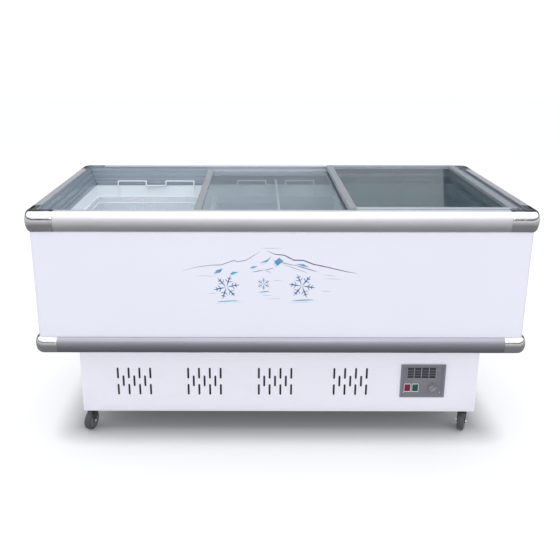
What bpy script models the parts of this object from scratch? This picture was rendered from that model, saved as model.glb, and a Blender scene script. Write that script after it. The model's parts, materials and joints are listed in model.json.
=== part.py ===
"""Island chest freezer for a shop floor, with three sliding glass lids.

The insulated cabinet stands on a recessed plinth that hides the refrigeration unit, and the plinth rolls on
four swivel casters. Aluminium bumper rails with moulded corner caps run round the top and the bottom of the
cabinet. Inside the top rail a stepped frame gives each lid a track of its own level.

X runs along the length, -Y is the customer's side and +Z is up. The origin is on the floor, under the centre.
"""

import math

import bmesh
import bpy
from mathutils import Euler, Vector

# ---------------------------------------------------------------- driving dimensions, in metres
LENGTH = 1.792
DEPTH = 0.846
HALF = (LENGTH / 2, DEPTH / 2)
GAP = 0.0003

WALL_TOP = 0.8509
CABINET_BOTTOM = 0.3990
SKIN = 0.001
SKIN_INSET = 0.0145
BODY = (HALF[0] - SKIN_INSET, HALF[1] - SKIN_INSET)
CORNER_RADIUS = 0.0383
BODY_RADIUS = CORNER_RADIUS - SKIN_INSET
PANEL_RETURN = 0.030

RAIL_WALL = 0.0025
RAIL_PROUD = 0.001
RAIL_BULGE_U = 0.0142
TOP_RAIL_LOW = 0.8585
TOP_RAIL_MID = 0.896
TOP_RAIL_HIGH = 0.9333
TOP_RAIL_LIP = 0.038
TOP_CAP_LEG = 0.105
LOW_RAIL_LOW = 0.4000
LOW_RAIL_HIGH = 0.4615
LOW_CAP_LEG = 0.085

TRACK_WALL = 0.0015
TRACK_RIM = (0.0398, 0.9318)
TRACK_STEPS = [(0.046, 0.921), (0.054, 0.900), (0.062, 0.879), (0.070, 0.866)]
TRACK_FLANGE_U = 0.045

LINER = (0.8265, 0.3535)
LINER_WALL = 0.001
LINER_RADIUS = 0.015
LINER_FLOOR = 0.4613
COIL_TUBE_RADIUS = 0.0035
COIL_LOW = 0.52
COIL_HIGH = 0.78
COIL_TURNS = 5
COIL_ROOM = 0.002
COIL_MARGIN = 0.02

LID_LENGTH = 0.585
LID_THICK = 0.0192
LID_SIDE_BAR = 0.026
LID_END_BAR = 0.010
LID_CLEAR = 0.0015
LID_LIFT = 0.0005
GLASS_THICK = 0.004
GLASS_BITE = 0.005
GROOVE_WIDTH = 0.004
GROOVE_DEPTH = 0.002
LIDS = {"lid_right": (0, 0.235), "lid_middle": (1, -0.312), "lid_left": (2, 0.236)}

BASKET_PITCH = 0.5505
BASKET_HALF = (0.2695, 0.3395)
BASKET_TAPER = 0.012
BASKET_RIM = 0.800
BASKET_FLOOR = 0.600
BASKET_WALL = 0.002
BASKET_WIRE = 0.003
HOOK_WIRE = 0.0025
HOOK_X = (0.0455, 0.1745)
HOOK_Z = 0.8695
HOOK_NEAR_Y = 0.3485
HOOK_OVER_Y = 0.357
HOOK_FOOT = 0.008
HOOK_BEND_Z = 0.860
HOOK_DIP_Z = 0.850
RIM_RADIUS = 0.02
TIE_BAR = (0.010, 0.721, 0.008)
TIE_BAR_EDGE = 0.0015

PLINTH = (0.76, 0.323)
PLINTH_LOW = 0.1045
PLINTH_HIGH = 0.3987
PLINTH_SHEET = 0.0012
PLINTH_LIP = 0.012
TRAY_BOTTOM = 0.1060
TRAY_SHEET = 0.0015

SLOT_COLUMN_PITCH = 0.0415
SLOT_GROUPS = [-0.619, -0.349, -0.078, 0.211]
SLOT_SIZE = (0.0076, 0.047)
SLOT_ROWS = [(0.0, 0.2675, 4), (0.5, 0.2345, 3), (0.0, 0.198, 4)]

PANEL_CENTRE = (0.551, 0.237)
PANEL_SIZE = (0.170, 0.138)
PANEL_FRONT = -0.3275
PANEL_FACE = -0.3185
PANEL_BACK = -0.3090
PANEL_RIM = 0.012
PANEL_TAPER = 0.007
ROCKER_X = {"rocker_red": 0.495, "rocker_green": 0.525}
CONTROL_Z = 0.2055
ROCKER_SIZE = (0.021, 0.0276)
ROCKER_HOLE = (0.0225, 0.030)
ROCKER_TILT = math.radians(8)
ROCKER_PIVOT_Y = PANEL_FACE + 0.003
ROCKER_TIP = 0.0075
ROCKER_DISH = 0.0048
ROCKER_BACK = 0.0055
KNOB_X = 0.592
KNOB_RADIUS = 0.0165
KNOB_SHAFT = 0.003
KNOB_HOLE = 0.0036
KNOB_TURN = math.radians(45)
KNOB_FRONT = 0.0110
KNOB_BACK = 0.0005
KNOB_CHAMFER = 0.002
KNOB_SHAFT_LENGTH = 0.008
POINTER_HALF = (0.0145, 0.0018)
POINTER_SPAN = (0.009, 0.0125)

CASTER_AT = (0.738, 0.259)
CASTER_TURN = {"front_left": -18, "front_right": -25, "rear_left": 14, "rear_right": -10}
CASTER_TRAIL = 0.022
CASTER_PLATE = (0.042, 0.1012, 0.1042)
CASTER_BOSS = 0.009
WHEEL_SIDES = 24
AXLE_HEIGHT = 0.0375
WHEEL_RADIUS = AXLE_HEIGHT / math.cos(math.pi / WHEEL_SIDES)
WHEEL_HALF_WIDTH = 0.0125
AXLE_RADIUS = 0.004
CHEEK = (0.0138, 0.0163)
YOKE_Y = (-0.021, 0.017)
YOKE_Z = (0.084, 0.0945)
CHEEK_TOP = 0.0935
CHEEK_WAIST = 0.078
HEAD_RADIUS = 0.0175
AXLE_BOSS = 0.009
AXLE_PROUD = 0.0025
TREAD_CHAMFER = (0.0045, 0.0035)
HUB_STEP = (0.0120, 0.0135, 0.0025)

COMPRESSOR_AT = (-0.42, 0.04)
COMPRESSOR_RADIUS = 0.085
COMPRESSOR_WALL = (0.050, 0.135)
COMPRESSOR_BOWL = 0.035
COMPRESSOR_DOME = 0.050
COMPRESSOR_BASE = (0.11, 0.08, 0.020)
STUB_HEIGHTS = (0.07, 0.12)
STUB_RADIUS = 0.005
STUB_LENGTH = 0.05
FAN_AT = (0.10, 0.0, 0.25)
FAN_RADIUS = 0.099
FAN_BLADES = 5
BLADE_PITCH = math.radians(26)
SHROUD_SIDE = 0.26
SHROUD_THICK = 0.025
SHROUD_ROOM = 0.005
ARM_BACK = 0.040
ARM_FRONT = 0.032
ARM_HALF = 0.010
ARM_INSET = 0.004
LEG_INSET = 0.010
MOTOR = (0.028, 0.034)
ROTOR_HUB = (0.030, 0.020)
ROTOR_AHEAD = 0.002
BLADE = (0.0012, 0.022)
BLADE_ROOT = 0.025
CONDENSER_X = (0.135, 0.185)
CONDENSER_HALF = 0.14
CONDENSER_HEIGHT = 0.27
FIN_PITCH = 0.03
FIN_HALF_GAP = 0.004
FIN_DEPTH = 0.018
FIN_MARGIN = 0.01
FIN_REACH = 4

GLAND_AT = (-0.60, 0.20)
GLAND_HOLE = 0.0105

# ---------------------------------------------------------------- finishes: colour, roughness, metallic
FINISHES = {
    "white_enamel": ((0.86, 0.86, 0.92), 0.28, 0.0),
    "rail_aluminium": ((0.80, 0.80, 0.84), 0.30, 0.9),
    "cap_chrome": ((0.72, 0.72, 0.76), 0.12, 1.0),
    "track_aluminium": ((0.42, 0.46, 0.54), 0.35, 0.8),
    "liner_white": ((0.80, 0.89, 0.96), 0.35, 0.0),
    "foam": ((0.85, 0.78, 0.55), 0.90, 0.0),
    "copper": ((0.75, 0.42, 0.28), 0.30, 1.0),
    "lid_aluminium": ((0.50, 0.54, 0.60), 0.30, 0.9),
    "lid_glass": ((0.45, 0.58, 0.62), 0.03, 0.0),
    "basket_white": ((0.88, 0.90, 0.93), 0.35, 0.0),
    "tray_steel": ((0.60, 0.61, 0.62), 0.45, 0.8),
    "panel_grey": ((0.22, 0.22, 0.25), 0.50, 0.0),
    "rocker_red": ((0.35, 0.01, 0.05), 0.30, 0.0),
    "rocker_green": ((0.01, 0.16, 0.10), 0.30, 0.0),
    "knob_grey": ((0.24, 0.24, 0.27), 0.40, 0.0),
    "caster_black": ((0.02, 0.02, 0.022), 0.40, 0.3),
    "wheel_rubber": ((0.06, 0.06, 0.065), 0.60, 0.0),
    "compressor_black": ((0.03, 0.03, 0.03), 0.45, 0.2),
    "fin_aluminium": ((0.70, 0.71, 0.72), 0.40, 0.9),
    "fan_black": ((0.05, 0.05, 0.055), 0.50, 0.0),
    "gland_black": ((0.03, 0.03, 0.03), 0.50, 0.0),
}


# ---------------------------------------------------------------- scene and object helpers
def clear_scene():
    for item in list(bpy.data.objects):
        bpy.data.objects.remove(item, do_unlink=True)


def new_collection(name):
    group = bpy.data.collections.new(name)
    bpy.context.scene.collection.children.link(group)
    return group


def finish(name):
    """The Principled material of one finish, made the first time it is asked for."""
    found = bpy.data.materials.get(name)
    if found:
        return found
    colour, roughness, metallic = FINISHES[name]
    made = bpy.data.materials.new(name)
    made.use_nodes = True
    shader = made.node_tree.nodes["Principled BSDF"]
    shader.inputs["Base Color"].default_value = (*colour, 1.0)
    shader.inputs["Roughness"].default_value = roughness
    shader.inputs["Metallic"].default_value = metallic
    return made


def part(name, mesh, finish_name, location=(0, 0, 0), rotation=(0, 0, 0), parent=None):
    """One named sub-part of the freezer."""
    item = bpy.data.objects.new(name, mesh)
    PARTS.objects.link(item)
    if not mesh.materials:
        mesh.materials.append(finish(finish_name))
    item.location = location
    item.rotation_euler = rotation
    item.parent = parent
    return item


def tool(mesh, location=(0, 0, 0), rotation=(0, 0, 0), parent=None):
    """A shape that only cuts, or is welded into, another one."""
    item = bpy.data.objects.new("tool", mesh)
    TOOLS.objects.link(item)
    item.location = location
    item.rotation_euler = rotation
    item.parent = parent
    item.hide_render = True
    item.display_type = "WIRE"
    return item


def empty(name, location, turn=0.0):
    item = bpy.data.objects.new(name, None)
    PARTS.objects.link(item)
    item.location = location
    item.rotation_euler = (0, 0, turn)
    return item


def combine(item, other, operation):
    step = item.modifiers.new(operation.lower(), "BOOLEAN")
    step.operation = operation
    step.solver = "EXACT"
    step.object = other


def cut(item, cutter):
    combine(item, cutter, "DIFFERENCE")


def weld(item, other):
    combine(item, other, "UNION")


def round_edges(item, width, segments=2):
    step = item.modifiers.new("rounded edges", "BEVEL")
    step.width = width
    step.segments = segments
    step.limit_method = "ANGLE"


def to_mesh(build):
    """A mesh made by one function that works on a bmesh."""
    bm = bmesh.new()
    build(bm)
    bmesh.ops.recalc_face_normals(bm, faces=bm.faces)
    mesh = bpy.data.meshes.new("shape")
    bm.to_mesh(mesh)
    bm.free()
    return mesh


# ---------------------------------------------------------------- shape helpers
def box(low, high):
    size = Vector(high) - Vector(low)
    centre = (Vector(high) + Vector(low)) / 2

    def build(bm):
        made = bmesh.ops.create_cube(bm, size=1.0)
        bmesh.ops.scale(bm, vec=size, verts=made["verts"])
        bmesh.ops.translate(bm, vec=centre, verts=made["verts"])

    return to_mesh(build)


def tapered_box(half_low, half_high, low, high):
    """A block whose bottom and top rectangles differ."""

    def build(bm):
        bmesh.ops.create_cube(bm, size=2.0)
        for vertex in bm.verts:
            half = half_high if vertex.co.z > 0 else half_low
            vertex.co.x *= half[0]
            vertex.co.y *= half[1]
            vertex.co.z = high if vertex.co.z > 0 else low

    return to_mesh(build)


def cylinder(radius, length, sides):
    def build(bm):
        bmesh.ops.create_cone(
            bm, cap_ends=True, segments=sides, radius1=radius, radius2=radius, depth=length
        )

    mesh = to_mesh(build)
    smooth(mesh)
    return mesh


def smooth(mesh):
    mesh.shade_smooth()
    mesh.set_sharp_from_angle(angle=math.radians(35))


def curve_to_mesh(curve):
    """The closed, welded mesh of a curve."""
    guide = tool(curve)
    ready = guide.evaluated_get(bpy.context.evaluated_depsgraph_get())
    mesh = bpy.data.meshes.new_from_object(ready)
    bpy.data.objects.remove(guide)
    bm = bmesh.new()
    bm.from_mesh(mesh)
    bmesh.ops.remove_doubles(bm, verts=bm.verts, dist=0.00001)
    bmesh.ops.recalc_face_normals(bm, faces=bm.faces)
    bm.to_mesh(mesh)
    bm.free()
    mesh.materials.clear()
    return mesh


def add_spline(curve, points, closed):
    spline = curve.splines.new("POLY")
    spline.points.add(len(points) - 1)
    for slot, point in zip(spline.points, points):
        slot.co = (*point, *[0.0] * (3 - len(point)), 1.0)
    spline.use_cyclic_u = closed


def extruded(outlines, half_thickness):
    """Flat outlines in XY, filled and extruded both ways along Z."""
    curve = bpy.data.curves.new("outline", "CURVE")
    curve.dimensions = "2D"
    curve.fill_mode = "BOTH"
    curve.extrude = half_thickness
    for outline in outlines:
        add_spline(curve, outline, closed=True)
    return curve_to_mesh(curve)


def tube(points, radius, closed=False, resolution=2):
    """A round wire or pipe through the points."""
    curve = bpy.data.curves.new("wire", "CURVE")
    curve.dimensions = "3D"
    curve.bevel_depth = radius
    curve.bevel_resolution = resolution
    curve.use_fill_caps = True
    add_spline(curve, points, closed)
    mesh = curve_to_mesh(curve)
    smooth(mesh)
    return mesh


def turned(name, profile, steps, finish_name, closed=False, **place):
    """A turned piece: the profile's (radius, height) points run down its outer side."""
    mesh = bpy.data.meshes.new("profile")
    count = len(profile)
    edges = [(i, i + 1) for i in range(count - 1)]
    if closed:
        edges.append((count - 1, 0))
    mesh.from_pydata([(r, 0, z) for r, z in profile], edges, [])
    item = part(name, mesh, finish_name, **place)
    spin = item.modifiers.new("turned", "SCREW")
    spin.steps = steps
    spin.render_steps = steps
    spin.use_merge_vertices = True
    spin.merge_threshold = 0.00001
    spin.use_smooth_shade = False
    return item


def arc(centre, radii, start_deg, end_deg, steps):
    """Points on an elliptical arc, ends included."""
    points = []
    for i in range(steps + 1):
        angle = math.radians(start_deg + (end_deg - start_deg) * i / steps)
        points.append((centre[0] + radii[0] * math.cos(angle), centre[1] + radii[1] * math.sin(angle)))
    return points


def rounded_rectangle(half, radius, steps=3):
    points = []
    for sx, sy, start in ((1, 1, 0), (-1, 1, 90), (-1, -1, 180), (1, -1, 270)):
        centre = (sx * (half[0] - radius), sy * (half[1] - radius))
        points += arc(centre, (radius, radius), start, start + 90, steps)
    return points


def strip(path, thickness):
    """The outline of a bent sheet whose visible face is the path and whose metal is on its right."""
    normals = []
    for a, b in zip(path, path[1:]):
        along = (Vector(b) - Vector(a)).normalized()
        normals.append(Vector((along.y, -along.x)))
    back = []
    for i, point in enumerate(path):
        before = normals[max(i - 1, 0)]
        after = normals[min(i, len(normals) - 1)]
        back.append(tuple(Vector(point) + (before + after) * thickness / (1 + before.dot(after))))
    return [tuple(p) for p in path] + back[::-1]


def bar_on_side(outline, side, face, run=None):
    """A straight bar along one side of a rectangle, from an outline of (inward, height) points.

    With a run it has square ends; without one its ends are mitred to meet the bars beside it.
    """
    along_x = side in ("front", "rear")
    reach = face[0] if along_x else face[1]
    mesh = extruded([outline], run or reach)
    for vertex in mesh.vertices:
        inward, height, along = vertex.co
        if run is None:
            along = math.copysign(reach - inward - GAP, along)
        if side == "front":
            vertex.co = (along, inward - face[1], height)
        elif side == "rear":
            vertex.co = (-along, face[1] - inward, height)
        elif side == "left":
            vertex.co = (inward - face[0], -along, height)
        else:
            vertex.co = (face[0] - inward, along, height)
    return mesh


def corner_sweep(outline, leg, steps=5):
    """A bumper profile taken round one corner, which is at the origin with both sides running inwards."""
    radius = CORNER_RADIUS

    def build(bm):
        ring = [bm.verts.new((leg, inward, height)) for inward, height in outline]
        end = bm.faces.new(ring)
        end = pull(bm, end, (radius - leg, 0, 0))
        turn = bmesh.ops.spin(
            bm,
            geom=[end, *end.edges, *end.verts],
            cent=(radius, radius, 0),
            axis=(0, 0, 1),
            angle=-math.pi / 2,
            steps=steps,
        )
        end = next(item for item in turn["geom_last"] if isinstance(item, bmesh.types.BMFace))
        pull(bm, end, (0, leg - radius, 0))
        inner = [f for f in bm.faces if all(len(e.link_faces) > 2 for e in f.edges)]
        bmesh.ops.delete(bm, geom=inner, context="FACES_ONLY")

    mesh = to_mesh(build)
    smooth(mesh)
    return mesh


def pull(bm, face, move):
    """Extrudes one face and returns the face at the new end."""
    made = bmesh.ops.extrude_face_region(bm, geom=[face])
    bmesh.ops.translate(bm, vec=move, verts=[v for v in made["geom"] if isinstance(v, bmesh.types.BMVert)])
    return next(item for item in made["geom"] if isinstance(item, bmesh.types.BMFace))


# ---------------------------------------------------------------- cabinet
def make_cabinet():
    """Steel skins, the foam between them and the tank, the tank itself and the pipe wound round it."""
    height = (WALL_TOP - CABINET_BOTTOM) / 2
    middle = (WALL_TOP + CABINET_BOTTOM) / 2
    x, y, r = BODY[0], BODY[1], BODY_RADIUS
    wrap = [(x, PANEL_RETURN - y)]
    wrap += arc((x - r, r - y), (r, r), 0, -90, 3)
    wrap += arc((r - x, r - y), (r, r), -90, -180, 3)
    wrap += [(-x, PANEL_RETURN - y)]
    skin = extruded([strip(wrap, SKIN)], height)
    part("front_panel", skin, "white_enamel", (0, 0, middle))
    part("rear_panel", skin, "white_enamel", (0, 0, middle), (0, 0, math.pi))
    edge = y - PANEL_RETURN - GAP
    for name, low, high in (("left_end_panel", -x, SKIN - x), ("right_end_panel", x - SKIN, x)):
        part(name, box((low, -edge, CABINET_BOTTOM), (high, edge, WALL_TOP)), "white_enamel")

    inner = (x - SKIN - GAP, y - SKIN - GAP)
    plan = rounded_rectangle(inner, r - SKIN - GAP)
    part("cabinet_underside", extruded([plan], SKIN / 2), "tray_steel", (0, 0, CABINET_BOTTOM + SKIN / 2))

    foam_low = CABINET_BOTTOM + SKIN + GAP
    foam = part(
        "insulation_foam",
        extruded([plan], (WALL_TOP - foam_low) / 2),
        "foam",
        (0, 0, (WALL_TOP + foam_low) / 2),
    )
    tank = [side + LINER_WALL + 2 * GAP for side in LINER]
    floor = LINER_FLOOR - LINER_WALL - 2 * GAP
    cut(foam, tool(box((-tank[0], -tank[1], floor), (tank[0], tank[1], 1.0))))
    room = 2 * COIL_TUBE_RADIUS + COIL_ROOM
    low, high = COIL_LOW - COIL_MARGIN, COIL_HIGH + COIL_MARGIN
    groove = box((-tank[0] - room, -tank[1] - room, low), (tank[0] + room, tank[1] + room, high))
    cut(foam, tool(groove))

    make_liner()
    make_evaporator()


def make_liner():
    def build(bm):
        bmesh.ops.create_cube(bm, size=2.0)
        for vertex in bm.verts:
            vertex.co.x *= LINER[0]
            vertex.co.y *= LINER[1]
            vertex.co.z = WALL_TOP if vertex.co.z > 0 else LINER_FLOOR
        top = [f for f in bm.faces if f.calc_center_median().z > WALL_TOP - 0.001]
        bmesh.ops.delete(bm, geom=top, context="FACES_ONLY")
        seams = [e for e in bm.edges if len(e.link_faces) == 2]
        bmesh.ops.bevel(bm, geom=seams, offset=LINER_RADIUS, segments=3, profile=0.5, affect="EDGES")

    liner = part("tank_liner", to_mesh(build), "liner_white")
    shell = liner.modifiers.new("sheet", "SOLIDIFY")
    shell.thickness = LINER_WALL
    shell.offset = 1.0


def make_evaporator():
    """One pipe wound round the tank, inside the foam."""
    inset = LINER_WALL + GAP + COIL_TUBE_RADIUS
    half = (LINER[0] + inset, LINER[1] + inset)
    loop = rounded_rectangle(half, LINER_RADIUS + inset)
    count = COIL_TURNS * len(loop)
    drop = (COIL_HIGH - COIL_LOW) / count
    points = [(*loop[i % len(loop)], COIL_HIGH - drop * i) for i in range(count)]
    part("evaporator_coil", tube(points, COIL_TUBE_RADIUS, resolution=1), "copper")


# ---------------------------------------------------------------- bumper rails, caps and lid tracks
def top_profile(proud):
    """The rounded top rail, from its lower lip over the bulge to the lip beside the lid tracks."""
    reach = RAIL_BULGE_U - proud
    path = arc((RAIL_BULGE_U, TOP_RAIL_MID), (reach, TOP_RAIL_MID - TOP_RAIL_LOW), 270, 180, 6)
    path += arc((RAIL_BULGE_U, TOP_RAIL_MID), (reach, TOP_RAIL_HIGH - TOP_RAIL_MID), 180, 90, 6)[1:]
    path += [(TOP_RAIL_LIP, TOP_RAIL_HIGH)]
    return strip(path, RAIL_WALL)


def low_profile(proud):
    """The rounded bottom rail, whose two lips end square against the skin."""
    lip = SKIN_INSET - GAP
    middle = (LOW_RAIL_LOW + LOW_RAIL_HIGH) / 2
    rise = (LOW_RAIL_HIGH - LOW_RAIL_LOW) / 2
    path = arc((lip, middle), (lip - proud, rise), 270, 90, 10)
    return [(min(inward, lip), height) for inward, height in strip(path, RAIL_WALL)]


def make_rails():
    corners = {
        "front_left": (-HALF[0], -HALF[1], 0),
        "front_right": (HALF[0], -HALF[1], 90),
        "rear_right": (HALF[0], HALF[1], 180),
        "rear_left": (-HALF[0], HALF[1], 270),
    }
    for level, profile, leg in (("top", top_profile, TOP_CAP_LEG), ("bottom", low_profile, LOW_CAP_LEG)):
        for side in ("front", "rear", "left", "right"):
            reach = HALF[0] if side in ("front", "rear") else HALF[1]
            rail = bar_on_side(profile(RAIL_PROUD), side, HALF, run=reach - leg - GAP)
            smooth(rail)
            part(f"{level}_rail_{side}", rail, "rail_aluminium")
        cap = corner_sweep(profile(0.0), leg)
        for corner, (x, y, turn) in corners.items():
            part(f"{level}_cap_{corner}", cap, "cap_chrome", (x, y, 0), (0, 0, math.radians(turn)))


def make_tracks():
    """The stepped frame round the opening: a rim, three lid ledges and the ledge the baskets hang on."""
    path = [TRACK_RIM]
    inward = TRACK_RIM[0]
    for next_inward, height in TRACK_STEPS:
        path += [(inward, height), (next_inward, height)]
        inward = next_inward
    bottom = WALL_TOP + GAP
    path += [(inward, bottom), (TRACK_FLANGE_U, bottom)]
    outline = strip(path, TRACK_WALL)
    for side in ("front", "rear", "left", "right"):
        part(f"track_frame_{side}", bar_on_side(outline, side, HALF), "track_aluminium")


def make_tie_bar():
    """A thin bar across the middle of the opening, which keeps the long sides parallel."""
    width, run, height = TIE_BAR
    low = TRACK_STEPS[-1][1] + GAP
    bar = part(
        "centre_tie_bar",
        box((-width / 2, -run / 2, low), (width / 2, run / 2, low + height)),
        "basket_white",
    )
    round_edges(bar, TIE_BAR_EDGE)


# ---------------------------------------------------------------- sliding lids
def make_lid(name, level, left):
    """A pane held in the groove of an aluminium frame, which slides along its own pair of ledges."""
    outer_u = TRACK_RIM[0] if level == 0 else TRACK_STEPS[level - 1][0]
    half_depth = HALF[1] - outer_u - LID_CLEAR
    half_length = LID_LENGTH / 2
    low = TRACK_STEPS[level][1] + LID_LIFT
    slide = empty(f"{name}_slide", (left + half_length, 0, low + LID_THICK / 2))

    opening = (half_length - LID_SIDE_BAR, half_depth - LID_END_BAR)
    ring = extruded(
        [rectangle(half_length, half_depth), rectangle(*opening)],
        LID_THICK / 2,
    )
    frame = part(f"{name}_frame", ring, "lid_aluminium", parent=slide)
    glass = (opening[0] + GLASS_BITE, opening[1] + GLASS_BITE)
    room = GLASS_THICK / 2 + GAP
    edge = (glass[0] + GAP, glass[1] + GAP)
    cut(frame, tool(box((-edge[0], -edge[1], -room), (edge[0], edge[1], room)), parent=slide))
    for side in (-1, 1):
        for share in (0.32, 0.68):
            x = side * (half_length - share * LID_SIDE_BAR)
            low_corner = (x - GROOVE_WIDTH / 2, -1, LID_THICK / 2 - GROOVE_DEPTH)
            cut(frame, tool(box(low_corner, (x + GROOVE_WIDTH / 2, 1, 1)), parent=slide))
    pane = box((-glass[0], -glass[1], -GLASS_THICK / 2), (glass[0], glass[1], GLASS_THICK / 2))
    part(f"{name}_glass", pane, "lid_glass", parent=slide)


def rectangle(half_x, half_y):
    return [(half_x, half_y), (-half_x, half_y), (-half_x, -half_y), (half_x, -half_y)]


# ---------------------------------------------------------------- baskets
def make_baskets():
    for name, place in (("basket_left", -1), ("basket_middle", 0), ("basket_right", 1)):
        make_basket(name, place * BASKET_PITCH)


def make_basket(name, x):
    """An open basket with a round rim wire and, front and rear, a bent wire whose two hooks hold it up."""

    def build(bm):
        bmesh.ops.create_cube(bm, size=2.0)
        for vertex in bm.verts:
            shrink = 0 if vertex.co.z > 0 else BASKET_TAPER
            vertex.co.x *= BASKET_HALF[0] - shrink
            vertex.co.y *= BASKET_HALF[1] - shrink
            vertex.co.z = BASKET_RIM if vertex.co.z > 0 else BASKET_FLOOR
        top = [f for f in bm.faces if f.calc_center_median().z > BASKET_RIM - 0.001]
        bmesh.ops.delete(bm, geom=top, context="FACES_ONLY")

    basket = part(name, to_mesh(build), "basket_white", (x, 0, 0))
    walls = basket.modifiers.new("walls", "SOLIDIFY")
    walls.thickness = BASKET_WALL
    walls.offset = -1.0
    rim = [(px, py, BASKET_RIM) for px, py in rounded_rectangle(BASKET_HALF, RIM_RADIUS)]
    weld(basket, tool(tube(rim, BASKET_WIRE, closed=True), (x, 0, 0)))
    for side in (-1, 1):
        weld(basket, tool(tube(hook_wire(side), HOOK_WIRE, resolution=1), (x, 0, 0)))


def hook_wire(side):
    """One wire: up from the rim, over the ledge, down between the hooks, and the same again."""
    inner, outer = HOOK_X
    half = [
        (outer, BASKET_HALF[1], BASKET_RIM - HOOK_FOOT),
        (outer, HOOK_NEAR_Y, HOOK_BEND_Z),
        (outer, HOOK_NEAR_Y, HOOK_Z),
        (outer, HOOK_OVER_Y, HOOK_Z),
        (inner, HOOK_OVER_Y, HOOK_Z),
        (inner, HOOK_NEAR_Y, HOOK_Z),
        (inner, HOOK_NEAR_Y, HOOK_DIP_Z),
    ]
    other = [(-px, py, pz) for px, py, pz in reversed(half)]
    return [(px, side * py, pz) for px, py, pz in half + other]


# ---------------------------------------------------------------- plinth and control panel
def make_plinth():
    flange = [
        (PLINTH_LIP, PLINTH_LOW),
        (0.0, PLINTH_LOW),
        (0.0, PLINTH_HIGH),
        (PLINTH_LIP, PLINTH_HIGH),
    ]
    outline = strip(flange, PLINTH_SHEET)
    sheets = {}
    for side in ("front", "rear", "left", "right"):
        mesh = bar_on_side(outline, side, PLINTH)
        sheets[side] = part(f"plinth_{side}", mesh, "white_enamel")
    cut(sheets["front"], slot_cutter())
    hole = PANEL_RIM - 2 * GAP
    cut(sheets["front"], panel_block(hole, -1.0, PANEL_BACK))
    hole = tool(cylinder(GLAND_HOLE, 0.1, 16), (GLAND_AT[0], PLINTH[1], GLAND_AT[1]), (math.pi / 2, 0, 0))
    cut(sheets["rear"], hole)
    make_tray()


def slot_cutter():
    """All the vent slots of the front sheet: four groups of staggered upright slots."""
    radius = SLOT_SIZE[0] / 2
    reach = SLOT_SIZE[1] / 2 - radius
    outlines = []
    for group in SLOT_GROUPS:
        for shift, z, count in SLOT_ROWS:
            for i in range(count):
                x = group + (i + shift) * SLOT_COLUMN_PITCH
                outline = arc((x, z + reach), (radius, radius), 0, 180, 3)
                outline += arc((x, z - reach), (radius, radius), 180, 360, 3)
                outlines.append(outline)
    return tool(extruded(outlines, 0.02), (0, -PLINTH[1], 0), (math.pi / 2, 0, 0))


def make_tray():
    """The floor of the plinth, with a boss and a plate for each caster under it."""
    edge = PLINTH_SHEET + 2 * GAP
    reach = (PLINTH[0] - edge, PLINTH[1] - edge)
    low = (-reach[0], -reach[1], TRAY_BOTTOM)
    tray = part("base_tray", box(low, (*reach, TRAY_BOTTOM + TRAY_SHEET)), "tray_steel")
    side, plate_low, plate_high = CASTER_PLATE
    for x in (-CASTER_AT[0], CASTER_AT[0]):
        for y in (-CASTER_AT[1], CASTER_AT[1]):
            boss_height = TRAY_BOTTOM + TRAY_SHEET / 2 - plate_high + 0.001
            boss = cylinder(CASTER_BOSS, boss_height, 16)
            weld(tray, tool(boss, (x, y, plate_high - 0.001 + boss_height / 2)))
            plate = box((-side / 2, -side / 2, plate_low), (side / 2, side / 2, plate_high))
            weld(tray, tool(plate, (x, y, 0)))


def panel_block(inset, front, back):
    x, z = PANEL_CENTRE
    half = (PANEL_SIZE[0] / 2 - inset / 2, PANEL_SIZE[1] / 2 - inset / 2)
    return tool(box((x - half[0], front, z - half[1]), (x + half[0], back, z + half[1])))


def make_control_panel():
    """A moulded tray let into the plinth, with two rocker switches and the thermostat knob."""
    x, z = PANEL_CENTRE
    half = (PANEL_SIZE[0] / 2, PANEL_SIZE[1] / 2)
    flange_back = -PLINTH[1] - GAP
    flange = box((x - half[0], PANEL_FRONT, z - half[1]), (x + half[0], flange_back, z + half[1]))
    bezel = part("control_bezel", flange, "panel_grey")
    weld(bezel, panel_block(PANEL_RIM, PANEL_FRONT + 0.001, PANEL_BACK))
    mouth = [side - PANEL_RIM / 2 for side in half]
    floor = [side - PANEL_TAPER for side in mouth]
    overshoot = 0.001
    slope = PANEL_TAPER * overshoot / (PANEL_FACE - PANEL_FRONT)
    mouth = [side + slope for side in mouth]
    depth = PANEL_FACE - PANEL_FRONT + overshoot
    recess = tapered_box(floor, mouth, 0.0, depth)
    cut(bezel, tool(recess, (x, PANEL_FACE, z), (math.pi / 2, 0, 0)))
    for centre in ROCKER_X.values():
        w, h = ROCKER_HOLE[0] / 2, ROCKER_HOLE[1] / 2
        low, high = (centre - w, 2 * PANEL_FRONT, CONTROL_Z - h), (centre + w, PANEL_BACK / 2, CONTROL_Z + h)
        cut(bezel, tool(box(low, high)))
    shaft = tool(cylinder(KNOB_HOLE, 0.06, 12), (KNOB_X, PANEL_FACE, CONTROL_Z), (math.pi / 2, 0, 0))
    cut(bezel, shaft)

    for name, centre in ROCKER_X.items():
        make_rocker(name, centre)
    make_knob()


def make_rocker(name, x):
    """A dished rocker on a cross pin just behind the panel's face, resting in its lower position."""
    reach = ROCKER_SIZE[1] / 2
    outline = [
        (-ROCKER_TIP, reach),
        (-ROCKER_DISH, 0.0),
        (-ROCKER_TIP, -reach),
        (0.0, -reach),
        (ROCKER_BACK, -reach / 2),
        (ROCKER_BACK, reach / 2),
        (0.0, reach),
    ]
    mesh = extruded([outline], ROCKER_SIZE[0] / 2)
    for vertex in mesh.vertices:
        y, z, along = vertex.co
        vertex.co = (along, y, z)
    part(name, mesh, name, (x, ROCKER_PIVOT_Y, CONTROL_Z), (ROCKER_TILT, 0, 0))


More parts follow.
